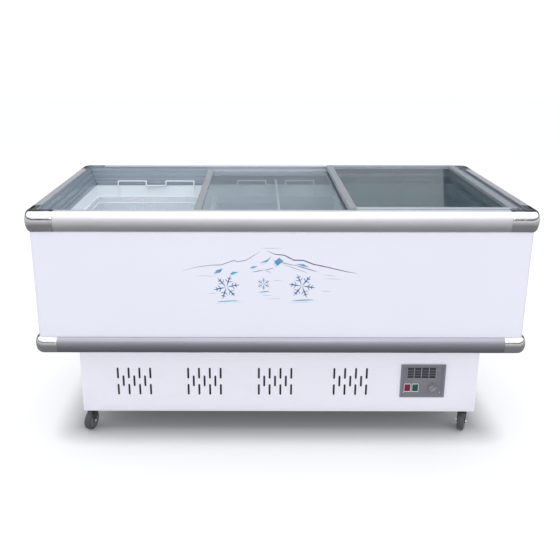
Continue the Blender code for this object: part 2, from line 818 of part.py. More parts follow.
def make_knob():
    """A round knob with a raised pointer across its face, on a shaft through the panel."""
    profile = [
        (0.0, KNOB_FRONT),
        (KNOB_RADIUS - KNOB_CHAMFER, KNOB_FRONT),
        (KNOB_RADIUS, KNOB_FRONT - KNOB_CHAMFER),
        (KNOB_RADIUS, KNOB_BACK),
        (KNOB_SHAFT, KNOB_BACK),
        (KNOB_SHAFT, -KNOB_SHAFT_LENGTH),
        (0.0, -KNOB_SHAFT_LENGTH),
    ]
    at = (KNOB_X, PANEL_FACE, CONTROL_Z)
    facing = (math.pi / 2, 0, 0)
    knob = turned("thermostat_knob", profile, 24, "knob_grey", location=at, rotation=facing)
    long, wide = POINTER_HALF
    pointer = box((-long, -wide, POINTER_SPAN[0]), (long, wide, POINTER_SPAN[1]))
    turn = Euler((math.pi / 2, -KNOB_TURN, 0))
    weld(knob, tool(pointer, at, turn))


# ---------------------------------------------------------------- casters
def make_casters():
    for end, y in (("front", -CASTER_AT[1]), ("rear", CASTER_AT[1])):
        for hand, x in (("left", -CASTER_AT[0]), ("right", CASTER_AT[0])):
            make_caster(f"{end}_{hand}", x, y)


def make_caster(corner, x, y):
    """A fork that swivels under its plate, with the wheel's axle set back from the swivel."""
    swivel = empty(f"swivel_{corner}", (x, y, 0), math.radians(CASTER_TURN[corner]))
    top = CASTER_PLATE[1] - GAP
    inner, outer = CHEEK
    yoke = box((-outer, YOKE_Y[0], YOKE_Z[0]), (outer, YOKE_Y[1], YOKE_Z[1]))
    fork = part(f"caster_fork_{corner}", yoke, "caster_black", parent=swivel)
    foot = (YOKE_Z[1] + CHEEK_TOP) / 2
    head = cylinder(HEAD_RADIUS, top - foot, 16)
    weld(fork, tool(head, (0, 0, (top + foot) / 2), parent=swivel))
    axle = (CASTER_TRAIL, AXLE_HEIGHT)
    cheek = [(-YOKE_Y[0], CHEEK_TOP), (-YOKE_Y[1], CHEEK_TOP), (-YOKE_Y[1], CHEEK_WAIST)]
    cheek += arc(axle, (AXLE_BOSS, AXLE_BOSS), 200, 360, 5)
    leg = extruded([cheek], (outer - inner) / 2)
    for vertex in leg.vertices:
        forward, pz, along = vertex.co
        vertex.co = (-along, -forward, pz)
    for side in (-1, 1):
        weld(fork, tool(leg, (side * (inner + outer) / 2, 0, 0), parent=swivel))
    across = (0, math.pi / 2, 0)
    pin = cylinder(AXLE_RADIUS, 2 * (outer + AXLE_PROUD), 12)
    weld(fork, tool(pin, (0, -CASTER_TRAIL, AXLE_HEIGHT), across, parent=swivel))

    half, r = WHEEL_HALF_WIDTH, WHEEL_RADIUS
    side_points = [
        (AXLE_RADIUS + GAP, half),
        (HUB_STEP[0], half),
        (HUB_STEP[1], half - HUB_STEP[2]),
        (r - TREAD_CHAMFER[0], half - HUB_STEP[2]),
        (r, half - HUB_STEP[2] - TREAD_CHAMFER[1]),
    ]
    profile = side_points + [(px, -pz) for px, pz in reversed(side_points)]
    turned(
        f"caster_wheel_{corner}",
        profile,
        WHEEL_SIDES,
        "wheel_rubber",
        closed=True,
        location=(0, -CASTER_TRAIL, AXLE_HEIGHT),
        rotation=(Euler(across).to_matrix() @ Euler((0, 0, math.pi / WHEEL_SIDES)).to_matrix()).to_euler(),
        parent=swivel,
    )


# ---------------------------------------------------------------- refrigeration unit and cord gland
def make_refrigeration():
    floor = TRAY_BOTTOM + TRAY_SHEET + GAP
    make_compressor(floor)
    make_condenser(floor)
    make_fan(floor)


def make_compressor(floor):
    """A hermetic compressor: a domed steel pot on a base plate, with its two pipe stubs."""
    r = COMPRESSOR_RADIUS
    x, y = COMPRESSOR_AT
    low, high = COMPRESSOR_WALL
    dome = arc((0.0, high), (r, COMPRESSOR_DOME), 90, 0, 4)
    bowl = arc((0.0, low), (r, COMPRESSOR_BOWL), 0, -90, 3)
    profile = [(round(px, 6), pz) for px, pz in dome + bowl]
    pot = turned("compressor", profile, 20, "compressor_black", location=(x, y, floor))
    half_x, half_y, height = COMPRESSOR_BASE
    weld(pot, tool(box((-half_x, -half_y, 0.0), (half_x, half_y, height)), (x, y, floor)))
    for height in STUB_HEIGHTS:
        stub = cylinder(STUB_RADIUS, STUB_LENGTH, 8)
        weld(pot, tool(stub, (x + r, y, floor + height), (0, math.pi / 2, 0)))


def make_condenser(floor):
    """A finned block across the plinth, in the fan's air stream."""
    low, high = CONDENSER_X
    top = floor + CONDENSER_HEIGHT
    block = box((low, -CONDENSER_HALF, floor), (high, CONDENSER_HALF, top))
    condenser = part("condenser", block, "fin_aluminium")
    for step in range(-FIN_REACH, FIN_REACH + 1):
        y = step * FIN_PITCH
        near = (low - FIN_MARGIN, y - FIN_HALF_GAP, floor + FIN_MARGIN)
        cut(condenser, tool(box(near, (low + FIN_DEPTH, y + FIN_HALF_GAP, top - FIN_MARGIN))))


def make_fan(floor):
    """A square shroud with the motor on its cross arm, and the bladed rotor in its ring."""
    x, y, z = FAN_AT
    half = SHROUD_SIDE / 2
    ring = [rectangle(half, half), arc((0, 0), (FAN_RADIUS + SHROUD_ROOM,) * 2, 0, 345, 23)]
    facing = (0, math.pi / 2, 0)
    shroud = part("fan_shroud", extruded(ring, SHROUD_THICK / 2), "fan_black", (x, y, z), facing)
    back, tall, wide = x - ARM_BACK, ARM_HALF, half - ARM_INSET
    weld(shroud, tool(box((back, -wide, z - tall), (x - ARM_FRONT, wide, z + tall))))
    for side in (-1, 1):
        low, high = sorted((side * wide, side * (half - LEG_INSET)))
        weld(shroud, tool(box((back + 0.001, low, z - tall + 0.001), (x, high, z + tall - 0.001))))
    weld(shroud, tool(cylinder(*MOTOR, 16), (back + tall, y, z), facing))

    rotor_x = x + ROTOR_AHEAD
    hub = part("fan_rotor", cylinder(*ROTOR_HUB, 16), "fan_black", (rotor_x, y, z), facing)
    thick, wide = BLADE
    reach = FAN_RADIUS - BLADE_ROOT
    middle = BLADE_ROOT + reach / 2
    for i in range(FAN_BLADES):
        turn = math.tau * i / FAN_BLADES
        blade = box((-thick, -wide, -reach / 2), (thick, wide, reach / 2))
        place = (rotor_x, y - middle * math.sin(turn), z + middle * math.cos(turn))
        pitch = Euler((0, 0, BLADE_PITCH)).to_matrix()
        lay = (Euler((turn, 0, 0)).to_matrix() @ pitch).to_euler()
        weld(hub, tool(blade, place, lay))


def make_gland():
    """The gland that the mains lead would enter by, through the plinth's rear sheet."""
    profile = [
        (0.0050, 0.022),
        (0.0080, 0.020),
        (0.0110, 0.008),
        (0.0160, 0.0075),
        (0.0160, GAP),
        (0.0100, GAP),
        (0.0100, -0.010),
        (0.0050, -0.010),
    ]
    at = (GLAND_AT[0], PLINTH[1], GLAND_AT[1])
    turned("cord_gland", profile, 16, "gland_black", closed=True, location=at, rotation=(-math.pi / 2, 0, 0))


clear_scene()
PARTS = new_collection("chest_freezer")
TOOLS = new_collection("tools")
make_cabinet()
make_rails()
make_tracks()
make_tie_bar()
for lid, (track, left_edge) in LIDS.items():
    make_lid(lid, track, left_edge)
make_baskets()
make_plinth()
make_control_panel()
make_casters()
make_refrigeration()
make_gland()
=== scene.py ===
# %% [markdown]
# # A shop's island freezer with three sliding glass lids
# The freezer stands in the middle of a shop floor, and customers reach in from above. The cabinet is a
# foamed steel box with bumper rails round it, and it rests on a narrower plinth that hides the cooling unit.
# The solid model is loaded first and never moves. Every piece made below rides on one of its bodies, so the
# lids can still slide and the casters can still swivel.

# %% Load the solid model
import json
import math

import bmesh
import bpy
from mathutils import Matrix, Vector

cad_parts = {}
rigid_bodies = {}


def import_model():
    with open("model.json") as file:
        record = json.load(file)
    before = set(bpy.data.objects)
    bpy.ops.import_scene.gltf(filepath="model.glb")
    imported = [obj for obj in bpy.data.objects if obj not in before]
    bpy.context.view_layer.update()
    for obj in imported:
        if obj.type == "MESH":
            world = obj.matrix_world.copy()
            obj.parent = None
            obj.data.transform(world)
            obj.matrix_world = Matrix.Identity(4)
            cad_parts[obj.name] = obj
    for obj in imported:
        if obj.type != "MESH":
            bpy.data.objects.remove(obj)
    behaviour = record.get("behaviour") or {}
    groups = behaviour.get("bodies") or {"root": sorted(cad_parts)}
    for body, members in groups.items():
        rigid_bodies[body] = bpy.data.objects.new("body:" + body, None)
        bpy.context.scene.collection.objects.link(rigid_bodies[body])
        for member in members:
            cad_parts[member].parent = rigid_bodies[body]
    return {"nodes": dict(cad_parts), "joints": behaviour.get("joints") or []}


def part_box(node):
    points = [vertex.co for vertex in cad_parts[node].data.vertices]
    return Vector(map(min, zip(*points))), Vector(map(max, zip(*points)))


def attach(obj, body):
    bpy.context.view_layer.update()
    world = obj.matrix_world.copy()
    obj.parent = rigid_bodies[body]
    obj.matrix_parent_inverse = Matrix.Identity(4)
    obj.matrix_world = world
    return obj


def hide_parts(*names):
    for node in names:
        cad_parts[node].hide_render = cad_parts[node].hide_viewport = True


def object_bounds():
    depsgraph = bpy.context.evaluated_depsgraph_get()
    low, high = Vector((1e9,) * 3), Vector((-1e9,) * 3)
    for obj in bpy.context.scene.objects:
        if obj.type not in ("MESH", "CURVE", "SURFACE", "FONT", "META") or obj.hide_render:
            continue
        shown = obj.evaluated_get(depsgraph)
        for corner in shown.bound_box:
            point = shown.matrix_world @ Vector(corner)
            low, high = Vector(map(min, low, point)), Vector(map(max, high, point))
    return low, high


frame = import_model()
nodes = frame["nodes"]
scene = bpy.context.scene
for leftover in [item for item in scene.objects if item.name in ("Cube", "Camera", "Light")]:
    bpy.data.objects.remove(leftover)
cad_low, cad_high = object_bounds()
HALF_X, HALF_Y = cad_high.x, cad_high.y
print("solid model:", [round(side, 4) for side in cad_high - cad_low], "m")

# %% [markdown]
# ## Camera
# A standing customer's eye, a little above the lids and about two metres from the front. The lens is shifted
# instead of tilted further, so the cabinet's upright edges stay upright.

# %% Camera
EYE = (-0.085, -2.541, 1.516)
EYE_TILT = math.radians(75.01)
EYE_PAN = math.radians(0.22)
camera_data = bpy.data.cameras.new("customer_eye")
camera_data.lens = 41.35
camera_data.shift_x = 0.045
camera_data.shift_y = -0.128
camera = bpy.data.objects.new("customer_eye", camera_data)
camera.location = EYE
camera.rotation_euler = (EYE_TILT, 0, EYE_PAN)
scene.collection.objects.link(camera)
scene.camera = camera
scene.view_settings.view_transform = "Standard"
print("camera looks", round(90 - math.degrees(EYE_TILT), 1), "degrees down")

# %% [markdown]
# ## Small tools for materials
# A material is a little network. `add` makes one node and fills its sockets, whether with a number or with
# another node's output. `maths` and `mix` are the two nodes used most, with their awkward sockets hidden.

# %% Node helpers
def fill(tree, socket, value):
    """Puts a number in a socket, or links another node's output to it."""
    if isinstance(value, bpy.types.NodeSocket):
        tree.links.new(value, socket)
    else:
        socket.default_value = value


def add(tree, kind, settings=None, **sockets):
    made = tree.nodes.new("ShaderNode" + kind)
    for name, value in (settings or {}).items():
        setattr(made, name, value)
    for name, value in sockets.items():
        fill(tree, made.inputs[name.replace("_", " ")], value)
    return made


def maths(tree, operation, first, second=0.0, clamp=False):
    made = add(tree, "Math", {"operation": operation, "use_clamp": clamp})
    fill(tree, made.inputs[0], first)
    fill(tree, made.inputs[1], second)
    return made.outputs[0]


def mix(tree, factor, first, second, blend="MIX"):
    made = add(tree, "Mix", {"data_type": "RGBA", "blend_type": blend})
    for index, value in ((0, factor), (6, first), (7, second)):
        fill(tree, made.inputs[index], value)
    return made.outputs[2]


def spread(tree, value, low, high, to_low=0.0, to_high=1.0):
    """Stretches the part of a pattern between low and high over a new range."""
    made = add(tree, "MapRange", None, Value=value, From_Min=low, From_Max=high)
    fill(tree, made.inputs["To Min"], to_low)
    fill(tree, made.inputs["To Max"], to_high)
    return made.outputs[0]


def new_group(name, inputs, outputs):
    """A shader node group with named inputs and outputs. Returns the tree and its two ends."""
    tree = bpy.data.node_groups.new(name, "ShaderNodeTree")
    for label, default in inputs.items():
        kind = "NodeSocketFloat" if isinstance(default, float) else "NodeSocketVector"
        if isinstance(default, tuple) and len(default) == 4:
            kind = "NodeSocketColor"
        socket = tree.interface.new_socket(label, in_out="INPUT", socket_type=kind)
        socket.default_value = default
    for label, kind in outputs.items():
        tree.interface.new_socket(label, in_out="OUTPUT", socket_type="NodeSocket" + kind)
    start = tree.nodes.new("NodeGroupInput").outputs
    end = tree.nodes.new("NodeGroupOutput").inputs
    return tree, start, end


def use(tree, group, **sockets):
    """Places a group in a material and returns its outputs."""
    made = tree.nodes.new("ShaderNodeGroup")
    made.node_tree = group
    for name, value in sockets.items():
        fill(tree, made.inputs[name.replace("_", " ")], value)
    return made.outputs


# %% [markdown]
# ## Surface effects shared by many materials
# No factory surface is perfectly even. Each effect below is one node group, so that every material can
# take it with its own strength: tone that drifts over a large sheet, the orange peel of sprayed enamel, the
# streaks that a die leaves on extruded metal, the grain of a plastic mould, rubbed edges, dust, grime and
# smudges.

# %% Tone drift and orange peel
tree, start, end = new_group(
    "tone_drift",
    {"Colour": (0.8, 0.8, 0.8, 1.0), "Scale": 3.0, "Amount": 0.05},
    {"Colour": "Color", "Mask": "Float"},
)
place = add(tree, "TexCoord").outputs["Object"]
cloud = add(tree, "TexNoise", None, Vector=place, Scale=start["Scale"], Detail=4.0).outputs[0]
swing = maths(tree, "MULTIPLY", maths(tree, "SUBTRACT", cloud, 0.5), start["Amount"])
value = maths(tree, "ADD", maths(tree, "MULTIPLY", swing, 4.0), 1.0)
toned = add(tree, "HueSaturation", None, Color=start["Colour"], Value=value)
tree.links.new(toned.outputs[0], end["Colour"])
tree.links.new(cloud, end["Mask"])
TONE_DRIFT = tree

tree, start, end = new_group("orange_peel", {"Scale": 250.0}, {"Height": "Float"})
place = add(tree, "TexCoord").outputs["Object"]
fine = add(tree, "TexNoise", None, Vector=place, Scale=start["Scale"], Detail=1.0).outputs[0]
wide = maths(tree, "MULTIPLY", start["Scale"], 0.22)
slow = add(tree, "TexNoise", None, Vector=place, Scale=wide, Detail=2.0).outputs[0]
tree.links.new(maths(tree, "ADD", fine, maths(tree, "MULTIPLY", slow, 1.5)), end["Height"])
ORANGE_PEEL = tree

# %% Drawn grain and moulded grain
tree, start, end = new_group(
    "drawn_grain",
    {"Along": (0.02, 1.0, 1.0), "Scale": 600.0},
    {"Height": "Float", "Streaks": "Float"},
)
place = add(tree, "TexCoord").outputs["Object"]
pulled = add(tree, "VectorMath", {"operation": "MULTIPLY"})
tree.links.new(place, pulled.inputs[0])
tree.links.new(start["Along"], pulled.inputs[1])
lines = add(
    tree, "TexNoise", None, Vector=pulled.outputs[0], Scale=start["Scale"], Detail=5.0, Roughness=0.7
)
tree.links.new(lines.outputs[0], end["Height"])
tree.links.new(spread(tree, lines.outputs[0], 0.3, 0.7), end["Streaks"])
DRAWN_GRAIN = tree

tree, start, end = new_group("moulded_grain", {"Scale": 900.0}, {"Height": "Float"})
place = add(tree, "TexCoord").outputs["Object"]
cells = add(tree, "TexVoronoi", {"feature": "SMOOTH_F1"}, Vector=place, Scale=start["Scale"])
pits = add(tree, "TexNoise", None, Vector=place, Scale=start["Scale"], Detail=3.0).outputs[0]
tree.links.new(maths(tree, "ADD", cells.outputs["Distance"], pits), end["Height"])
MOULDED_GRAIN = tree

# %% Edge wear, settled dust, floor grime and smudges
tree, start, end = new_group("edge_wear", {"Radius": 0.001, "Breakup": 90.0}, {"Mask": "Float"})
softened = add(tree, "Bevel", {"samples": 4}, Radius=start["Radius"]).outputs[0]
facing = add(tree, "NewGeometry").outputs["Normal"]
alike = add(tree, "VectorMath", {"operation": "DOT_PRODUCT"})
tree.links.new(softened, alike.inputs[0])
tree.links.new(facing, alike.inputs[1])
place = add(tree, "TexCoord").outputs["Object"]
patches = add(tree, "TexNoise", None, Vector=place, Scale=start["Breakup"], Detail=4.0).outputs[0]
edge = spread(tree, alike.outputs["Value"], 0.98, 0.80)
tree.links.new(maths(tree, "MULTIPLY", edge, spread(tree, patches, 0.42, 0.62)), end["Mask"])
EDGE_WEAR = tree

tree, start, end = new_group("settled_dust", {"Scale": 40.0, "Amount": 0.3}, {"Mask": "Float"})
facing = add(tree, "SeparateXYZ", None, Vector=add(tree, "NewGeometry").outputs["Normal"])
upward = maths(tree, "POWER", maths(tree, "MAXIMUM", facing.outputs["Z"], 0.0), 3.0)
place = add(tree, "TexCoord").outputs["Object"]
specks = add(tree, "TexNoise", None, Vector=place, Scale=start["Scale"], Detail=6.0, Roughness=0.7)
patchy = maths(tree, "MULTIPLY", upward, spread(tree, specks.outputs[0], 0.35, 0.7))
tree.links.new(maths(tree, "MULTIPLY", patchy, start["Amount"], clamp=True), end["Mask"])
SETTLED_DUST = tree

tree, start, end = new_group("floor_grime", {"Reach": 0.2, "Amount": 0.3}, {"Mask": "Float"})
place = add(tree, "TexCoord").outputs["Object"]
height = add(tree, "SeparateXYZ", None, Vector=place).outputs["Z"]
low = maths(tree, "SUBTRACT", 1.0, maths(tree, "DIVIDE", height, start["Reach"]), clamp=True)
splash = add(tree, "TexNoise", None, Vector=place, Scale=18.0, Detail=7.0, Roughness=0.7).outputs[0]
spots = maths(tree, "MULTIPLY", low, spread(tree, splash, 0.3, 0.7))
tree.links.new(maths(tree, "MULTIPLY", spots, start["Amount"], clamp=True), end["Mask"])
FLOOR_GRIME = tree

tree, start, end = new_group("smudges", {"Scale": 9.0, "Amount": 0.2}, {"Mask": "Float"})
place = add(tree, "TexCoord").outputs["Object"]
wiped = add(
    tree, "TexNoise", None, Vector=place, Scale=start["Scale"], Detail=5.0, Roughness=0.6, Distortion=1.2
)
tree.links.new(
    maths(tree, "MULTIPLY", spread(tree, wiped.outputs[0], 0.45, 0.75), start["Amount"], clamp=True),
    end["Mask"],
)
SMUDGES = tree
print("shader groups:", sorted(group.name for group in bpy.data.node_groups))

# %% [markdown]
# ## Sprayed and powder-coated finishes
# The skins and the plinth are steel sheet with baked white enamel, which has a faint cool tint, a soft gloss
# and an orange peel that only shows where a light glances off it. The wires and the tie bar are dipped in the
# same white, and the compressor in black. One function makes them all, and `grime` says how far up from the
# floor the dirt reaches.

# %% Coated metal
def new_material(name, roughness, metallic=0.0):
    material = bpy.data.materials.new(name)
    material.use_nodes = True
    shader = material.node_tree.nodes["Principled BSDF"]
    shader.inputs["Roughness"].default_value = roughness
    shader.inputs["Metallic"].default_value = metallic
    return material, material.node_tree, shader


def link_bump(tree, shader, height, depth, strength=1.0):
    """Feeds a height pattern, depth metres from hollow to crest, to the surface's normal."""
    bump = add(tree, "Bump", None, Height=height, Distance=depth, Strength=strength)
    tree.links.new(bump.outputs[0], shader.inputs["Normal"])


def coated(name, colour, roughness, peel=260.0, depth=0.00004, drift=0.012, grime=0.0, dust=0.25):
    material, tree, shader = new_material(name, roughness)
    tone = use(tree, TONE_DRIFT, Colour=(*colour, 1.0), Scale=2.2, Amount=drift)
    dusty = use(tree, SETTLED_DUST, Scale=60.0, Amount=dust)["Mask"]
    surface = mix(tree, dusty, tone["Colour"], (0.60, 0.58, 0.56, 1.0))
    dull = dusty
    if grime:
        dirt = use(tree, FLOOR_GRIME, Reach=grime, Amount=0.45)["Mask"]
        surface = mix(tree, dirt, surface, (0.30, 0.28, 0.27, 1.0))
        dull = maths(tree, "ADD", dull, dirt)
    fill(tree, shader.inputs["Base Color"], surface)
    uneven = spread(tree, tone["Mask"], 0.3, 0.7, roughness - 0.01, roughness + 0.02)
    fill(tree, shader.inputs["Roughness"], maths(tree, "ADD", uneven, maths(tree, "MULTIPLY", dull, 0.3)))
    link_bump(tree, shader, use(tree, ORANGE_PEEL, Scale=peel)["Height"], depth)
    shader.inputs["Coat Weight"].default_value = 0.25
    shader.inputs["Coat Roughness"].default_value = 0.12
    return material


ENAMEL = coated("white_enamel_finish", (0.80, 0.80, 0.885), 0.30)
# The plinth's enamel is painted lighter than the skins', painted light that makes up for the shade under the
# cabinet; the grime near the floor is dirt.
PLINTH_LIT_ENAMEL = coated("plinth_lit_enamel_finish", (0.85, 0.85, 0.92), 0.34, grime=0.12)
WIRE_COAT = coated("wire_coat_finish", (0.95, 0.97, 1.0), 0.36, peel=700.0, depth=0.00006, dust=0.03)
BLACK_PAINT = coated("black_paint_finish", (0.018, 0.018, 0.02), 0.38, peel=500.0, dust=0.5)
print("coated finishes:", 4)

# %% [markdown]
# ## Tank liner
# The tank is white-coated aluminium sheet, embossed with a soft hammered pattern that hides scratches. Light
# inside it turns slightly blue, and a thin bloom of frost dulls it in patches.

# %% Liner finish
LINER_FINISH, tree, shader = new_material("liner_finish", 0.35)
tone = use(tree, TONE_DRIFT, Colour=(0.84, 0.93, 0.98, 1.0), Scale=4.0, Amount=0.012)
frost = use(tree, SMUDGES, Scale=14.0, Amount=0.6)["Mask"]
fill(tree, shader.inputs["Base Color"], mix(tree, frost, tone["Colour"], (0.92, 0.96, 0.98, 1.0)))
fill(tree, shader.inputs["Roughness"], spread(tree, frost, 0.0, 1.0, 0.30, 0.65))
place = add(tree, "TexCoord").outputs["Object"]
hammered = add(tree, "TexVoronoi", {"feature": "SMOOTH_F1"}, Vector=place, Scale=95.0)
link_bump(tree, shader, hammered.outputs["Distance"], 0.0007)

# %% [markdown]
# ## Extruded aluminium
# Rails, tracks and lid frames are pushed through a die, so the metal keeps fine streaks that run along the
# bar. The streaks are the same noise for every bar, squeezed along another axis. Edges that hands and
# trolleys touch are polished brighter.

# %% Aluminium finishes
STREAKS = {"x": (0.012, 1.0, 1.0), "y": (1.0, 0.012, 1.0), "z": (1.0, 1.0, 0.012)}


def drawn(name, colour, roughness, run, metallic=1.0, dust=0.2, depth=0.00003):
    material, tree, shader = new_material(name, roughness, metallic)
    grain = use(tree, DRAWN_GRAIN, Along=STREAKS[run], Scale=650.0)
    tone = use(tree, TONE_DRIFT, Colour=(*colour, 1.0), Scale=5.0, Amount=0.03)
    rubbed = use(tree, EDGE_WEAR, Radius=0.0012, Breakup=70.0)["Mask"]
    bright = mix(tree, maths(tree, "MULTIPLY", rubbed, 0.5), tone["Colour"], (0.9, 0.9, 0.92, 1.0))
    dusty = use(tree, SETTLED_DUST, Scale=80.0, Amount=dust)["Mask"]
    fill(tree, shader.inputs["Base Color"], mix(tree, dusty, bright, (0.55, 0.55, 0.56, 1.0)))
    grainy = spread(tree, grain["Streaks"], 0.0, 1.0, roughness - 0.05, roughness + 0.07)
    fill(tree, shader.inputs["Roughness"], maths(tree, "ADD", grainy, maths(tree, "MULTIPLY", dusty, 0.3)))
    link_bump(tree, shader, grain["Height"], depth)
    return material


RAIL = {run: drawn("rail_finish_" + run, (0.90, 0.90, 0.94), 0.38, run, dust=0.05) for run in "xy"}
# The lower rail is the same extrusion, given a darker copy of the rail finish: painted shade for the lower
# level.
SHADED_LOW_RAIL = {run: drawn("low_rail_shaded_finish_" + run, (0.44, 0.44, 0.50), 0.42, run) for run in "xy"}
TRACK = {run: drawn("track_finish_" + run, (0.36, 0.41, 0.47), 0.30, run, metallic=0.6) for run in "xy"}
LID_BAR = {run: drawn("lid_bar_finish_" + run, (0.50, 0.53, 0.57), 0.28, run, metallic=0.45) for run in "xy"}
FIN = drawn("fin_finish", (0.72, 0.73, 0.74), 0.38, "z")
print("aluminium finishes:", len(RAIL) + len(SHADED_LOW_RAIL) + len(TRACK) + len(LID_BAR) + 1)

# %% [markdown]
# ## Chrome, zinc and galvanised steel
# The corner caps are plated plastic: a mirror with a few wipe marks. Nuts and axle pins are zinc-plated and
# duller. The tray under the cooling unit is galvanised sheet, whose crystals show as patches of grey.

# %% Plated finishes
def plated(name, colour, roughness, smudge):
    material, tree, shader = new_material(name, roughness, 1.0)
    tone = use(tree, TONE_DRIFT, Colour=(*colour, 1.0), Scale=30.0, Amount=0.02)
    marks = use(tree, SMUDGES, Scale=22.0, Amount=smudge)["Mask"]
    fill(tree, shader.inputs["Base Color"], tone["Colour"])
    fill(tree, shader.inputs["Roughness"], maths(tree, "ADD", marks, roughness))
    link_bump(tree, shader, use(tree, ORANGE_PEEL, Scale=420.0)["Height"], 0.00001)
    return material


CHROME = plated("chrome_finish", (0.80, 0.80, 0.83), 0.10, 0.10)
ZINC = plated("zinc_finish", (0.74, 0.74, 0.72), 0.28, 0.25)

GALVANISED, tree, shader = new_material("galvanised_finish", 0.42, 1.0)
place = add(tree, "TexCoord").outputs["Object"]
crystal = add(tree, "TexVoronoi", None, Vector=place, Scale=75.0).outputs["Color"]
shade = add(tree, "SeparateColor", None, Color=crystal).outputs[0]
tone = mix(tree, shade, (0.48, 0.49, 0.50, 1.0), (0.68, 0.69, 0.70, 1.0))
dirt = use(tree, FLOOR_GRIME, Reach=0.25, Amount=0.5)["Mask"]
fill(tree, shader.inputs["Base Color"], mix(tree, dirt, tone, (0.22, 0.21, 0.20, 1.0)))
fill(tree, shader.inputs["Roughness"], spread(tree, shade, 0.0, 1.0, 0.34, 0.52))
link_bump(tree, shader, use(tree, ORANGE_PEEL, Scale=300.0)["Height"], 0.00003)

COPPER, tree, shader = new_material("copper_finish", 0.28, 1.0)
tone = use(tree, TONE_DRIFT, Colour=(0.76, 0.42, 0.28, 1.0), Scale=12.0, Amount=0.08)
tarnish = use(tree, SMUDGES, Scale=30.0, Amount=0.8)["Mask"]
fill(tree, shader.inputs["Base Color"], mix(tree, tarnish, tone["Colour"], (0.30, 0.17, 0.12, 1.0)))
fill(tree, shader.inputs["Roughness"], spread(tree, tarnish, 0.0, 1.0, 0.22, 0.5))

# %% [markdown]
# ## Moulded plastic, rubber and foam
# Moulded parts have a fine spark-eroded grain. The rocker caps are glossy, the knob and the panel are matt,
# and the caster wheels are grey rubber that picks up the dirt of the floor.

# %% Moulded finishes
def moulded(name, colour, roughness, grain=900.0, depth=0.00005, wear=0.3, dust=0.3, grime=0.0):
    material, tree, shader = new_material(name, roughness)
    tone = use(tree, TONE_DRIFT, Colour=(*colour, 1.0), Scale=9.0, Amount=0.03)
    worn = maths(tree, "MULTIPLY", use(tree, EDGE_WEAR, Radius=0.0008, Breakup=160.0)["Mask"], wear)
    paler = tuple(min(1.0, shade * 1.5 + 0.05) for shade in colour)
    surface = mix(tree, worn, tone["Colour"], (*paler, 1.0))
    dusty = use(tree, SETTLED_DUST, Scale=120.0, Amount=dust)["Mask"]
    surface = mix(tree, dusty, surface, (0.50, 0.48, 0.46, 1.0))
    if grime:
        dirt = use(tree, FLOOR_GRIME, Reach=grime, Amount=0.6)["Mask"]
        surface = mix(tree, dirt, surface, (0.20, 0.19, 0.18, 1.0))
    fill(tree, shader.inputs["Base Color"], surface)
    uneven = spread(tree, tone["Mask"], 0.3, 0.7, roughness - 0.05, roughness + 0.06)
    polished = maths(tree, "MULTIPLY", worn, 0.1)
    fill(tree, shader.inputs["Roughness"], maths(tree, "SUBTRACT", uneven, polished))
    link_bump(tree, shader, use(tree, MOULDED_GRAIN, Scale=grain)["Height"], depth)
    return material


PANEL_GREY = moulded("panel_grey_finish", (0.20, 0.20, 0.225), 0.48)
DIAL_GREY = moulded("dial_grey_finish", (0.27, 0.27, 0.30), 0.40)
PALE_PLASTIC = moulded("pale_plastic_finish", (0.82, 0.81, 0.82), 0.42)
RED_PLASTIC = moulded("red_rocker_finish", (0.21, 0.010, 0.05), 0.22, depth=0.00001)
GREEN_PLASTIC = moulded("green_rocker_finish", (0.008, 0.095, 0.060), 0.22, depth=0.00001)
BLACK_PLASTIC = moulded("black_plastic_finish", (0.022, 0.022, 0.025), 0.42)
CASTER_BLACK = moulded("caster_black_finish", (0.022, 0.022, 0.024), 0.34, grime=0.11)
RUBBER = moulded("wheel_rubber_finish", (0.060, 0.060, 0.065), 0.62, grain=500.0, depth=0.00012, grime=0.09)
HUB_GREY = moulded("hub_grey_finish", (0.16, 0.16, 0.17), 0.45, grime=0.09)

FOAM, tree, shader = new_material("foam_finish", 0.9)
place = add(tree, "TexCoord").outputs["Object"]
bubbles = add(tree, "TexVoronoi", None, Vector=place, Scale=320.0).outputs["Distance"]
tone = use(tree, TONE_DRIFT, Colour=(0.80, 0.72, 0.46, 1.0), Scale=6.0, Amount=0.08)
cells = mix(tree, spread(tree, bubbles, 0.0, 0.5), tone["Colour"], (0.58, 0.48, 0.26, 1.0))
fill(tree, shader.inputs["Base Color"], cells)
link_bump(tree, shader, bubbles, 0.0008)

# %% [markdown]
# ## Glass
# The panes are 4 mm safety glass. The right lid is the top one and looks darker, with a grey-green tint,
# partly because a second lid is parked under it. A shader that really bends light would make the tank very
# slow to light, so shadow rays pass straight through, as they nearly do through a thin flat pane. Smudges
# from fingers only change the roughness.

# %% Glass finishes
def glazing(name, colour, through):
    material, tree, shader = new_material(name, 0.03)
    shader.inputs["Transmission Weight"].default_value = 1.0
    shader.inputs["IOR"].default_value = 1.48
    marks = use(tree, SMUDGES, Scale=7.0, Amount=0.10)["Mask"]
    tone = use(tree, TONE_DRIFT, Colour=(*colour, 1.0), Scale=3.0, Amount=0.015)
    fill(tree, shader.inputs["Base Color"], tone["Colour"])
    fill(tree, shader.inputs["Roughness"], maths(tree, "ADD", marks, 0.015))
    clear = add(tree, "BsdfTransparent", None, Color=(*through, 1.0))
    shadow = add(tree, "LightPath").outputs["Is Shadow Ray"]
    either = tree.nodes.new("ShaderNodeMixShader")
    tree.links.new(shadow, either.inputs[0])
    tree.links.new(shader.outputs[0], either.inputs[1])
    tree.links.new(clear.outputs[0], either.inputs[2])
    tree.links.new(either.outputs[0], tree.nodes["Material Output"].inputs["Surface"])
    return material


CLEAR_GLASS = glazing("clear_glass_finish", (0.80, 0.86, 0.90), (0.84, 0.89, 0.92))
DARK_GLASS = glazing("dark_glass_finish", (0.72, 0.81, 0.83), (0.80, 0.85, 0.87))

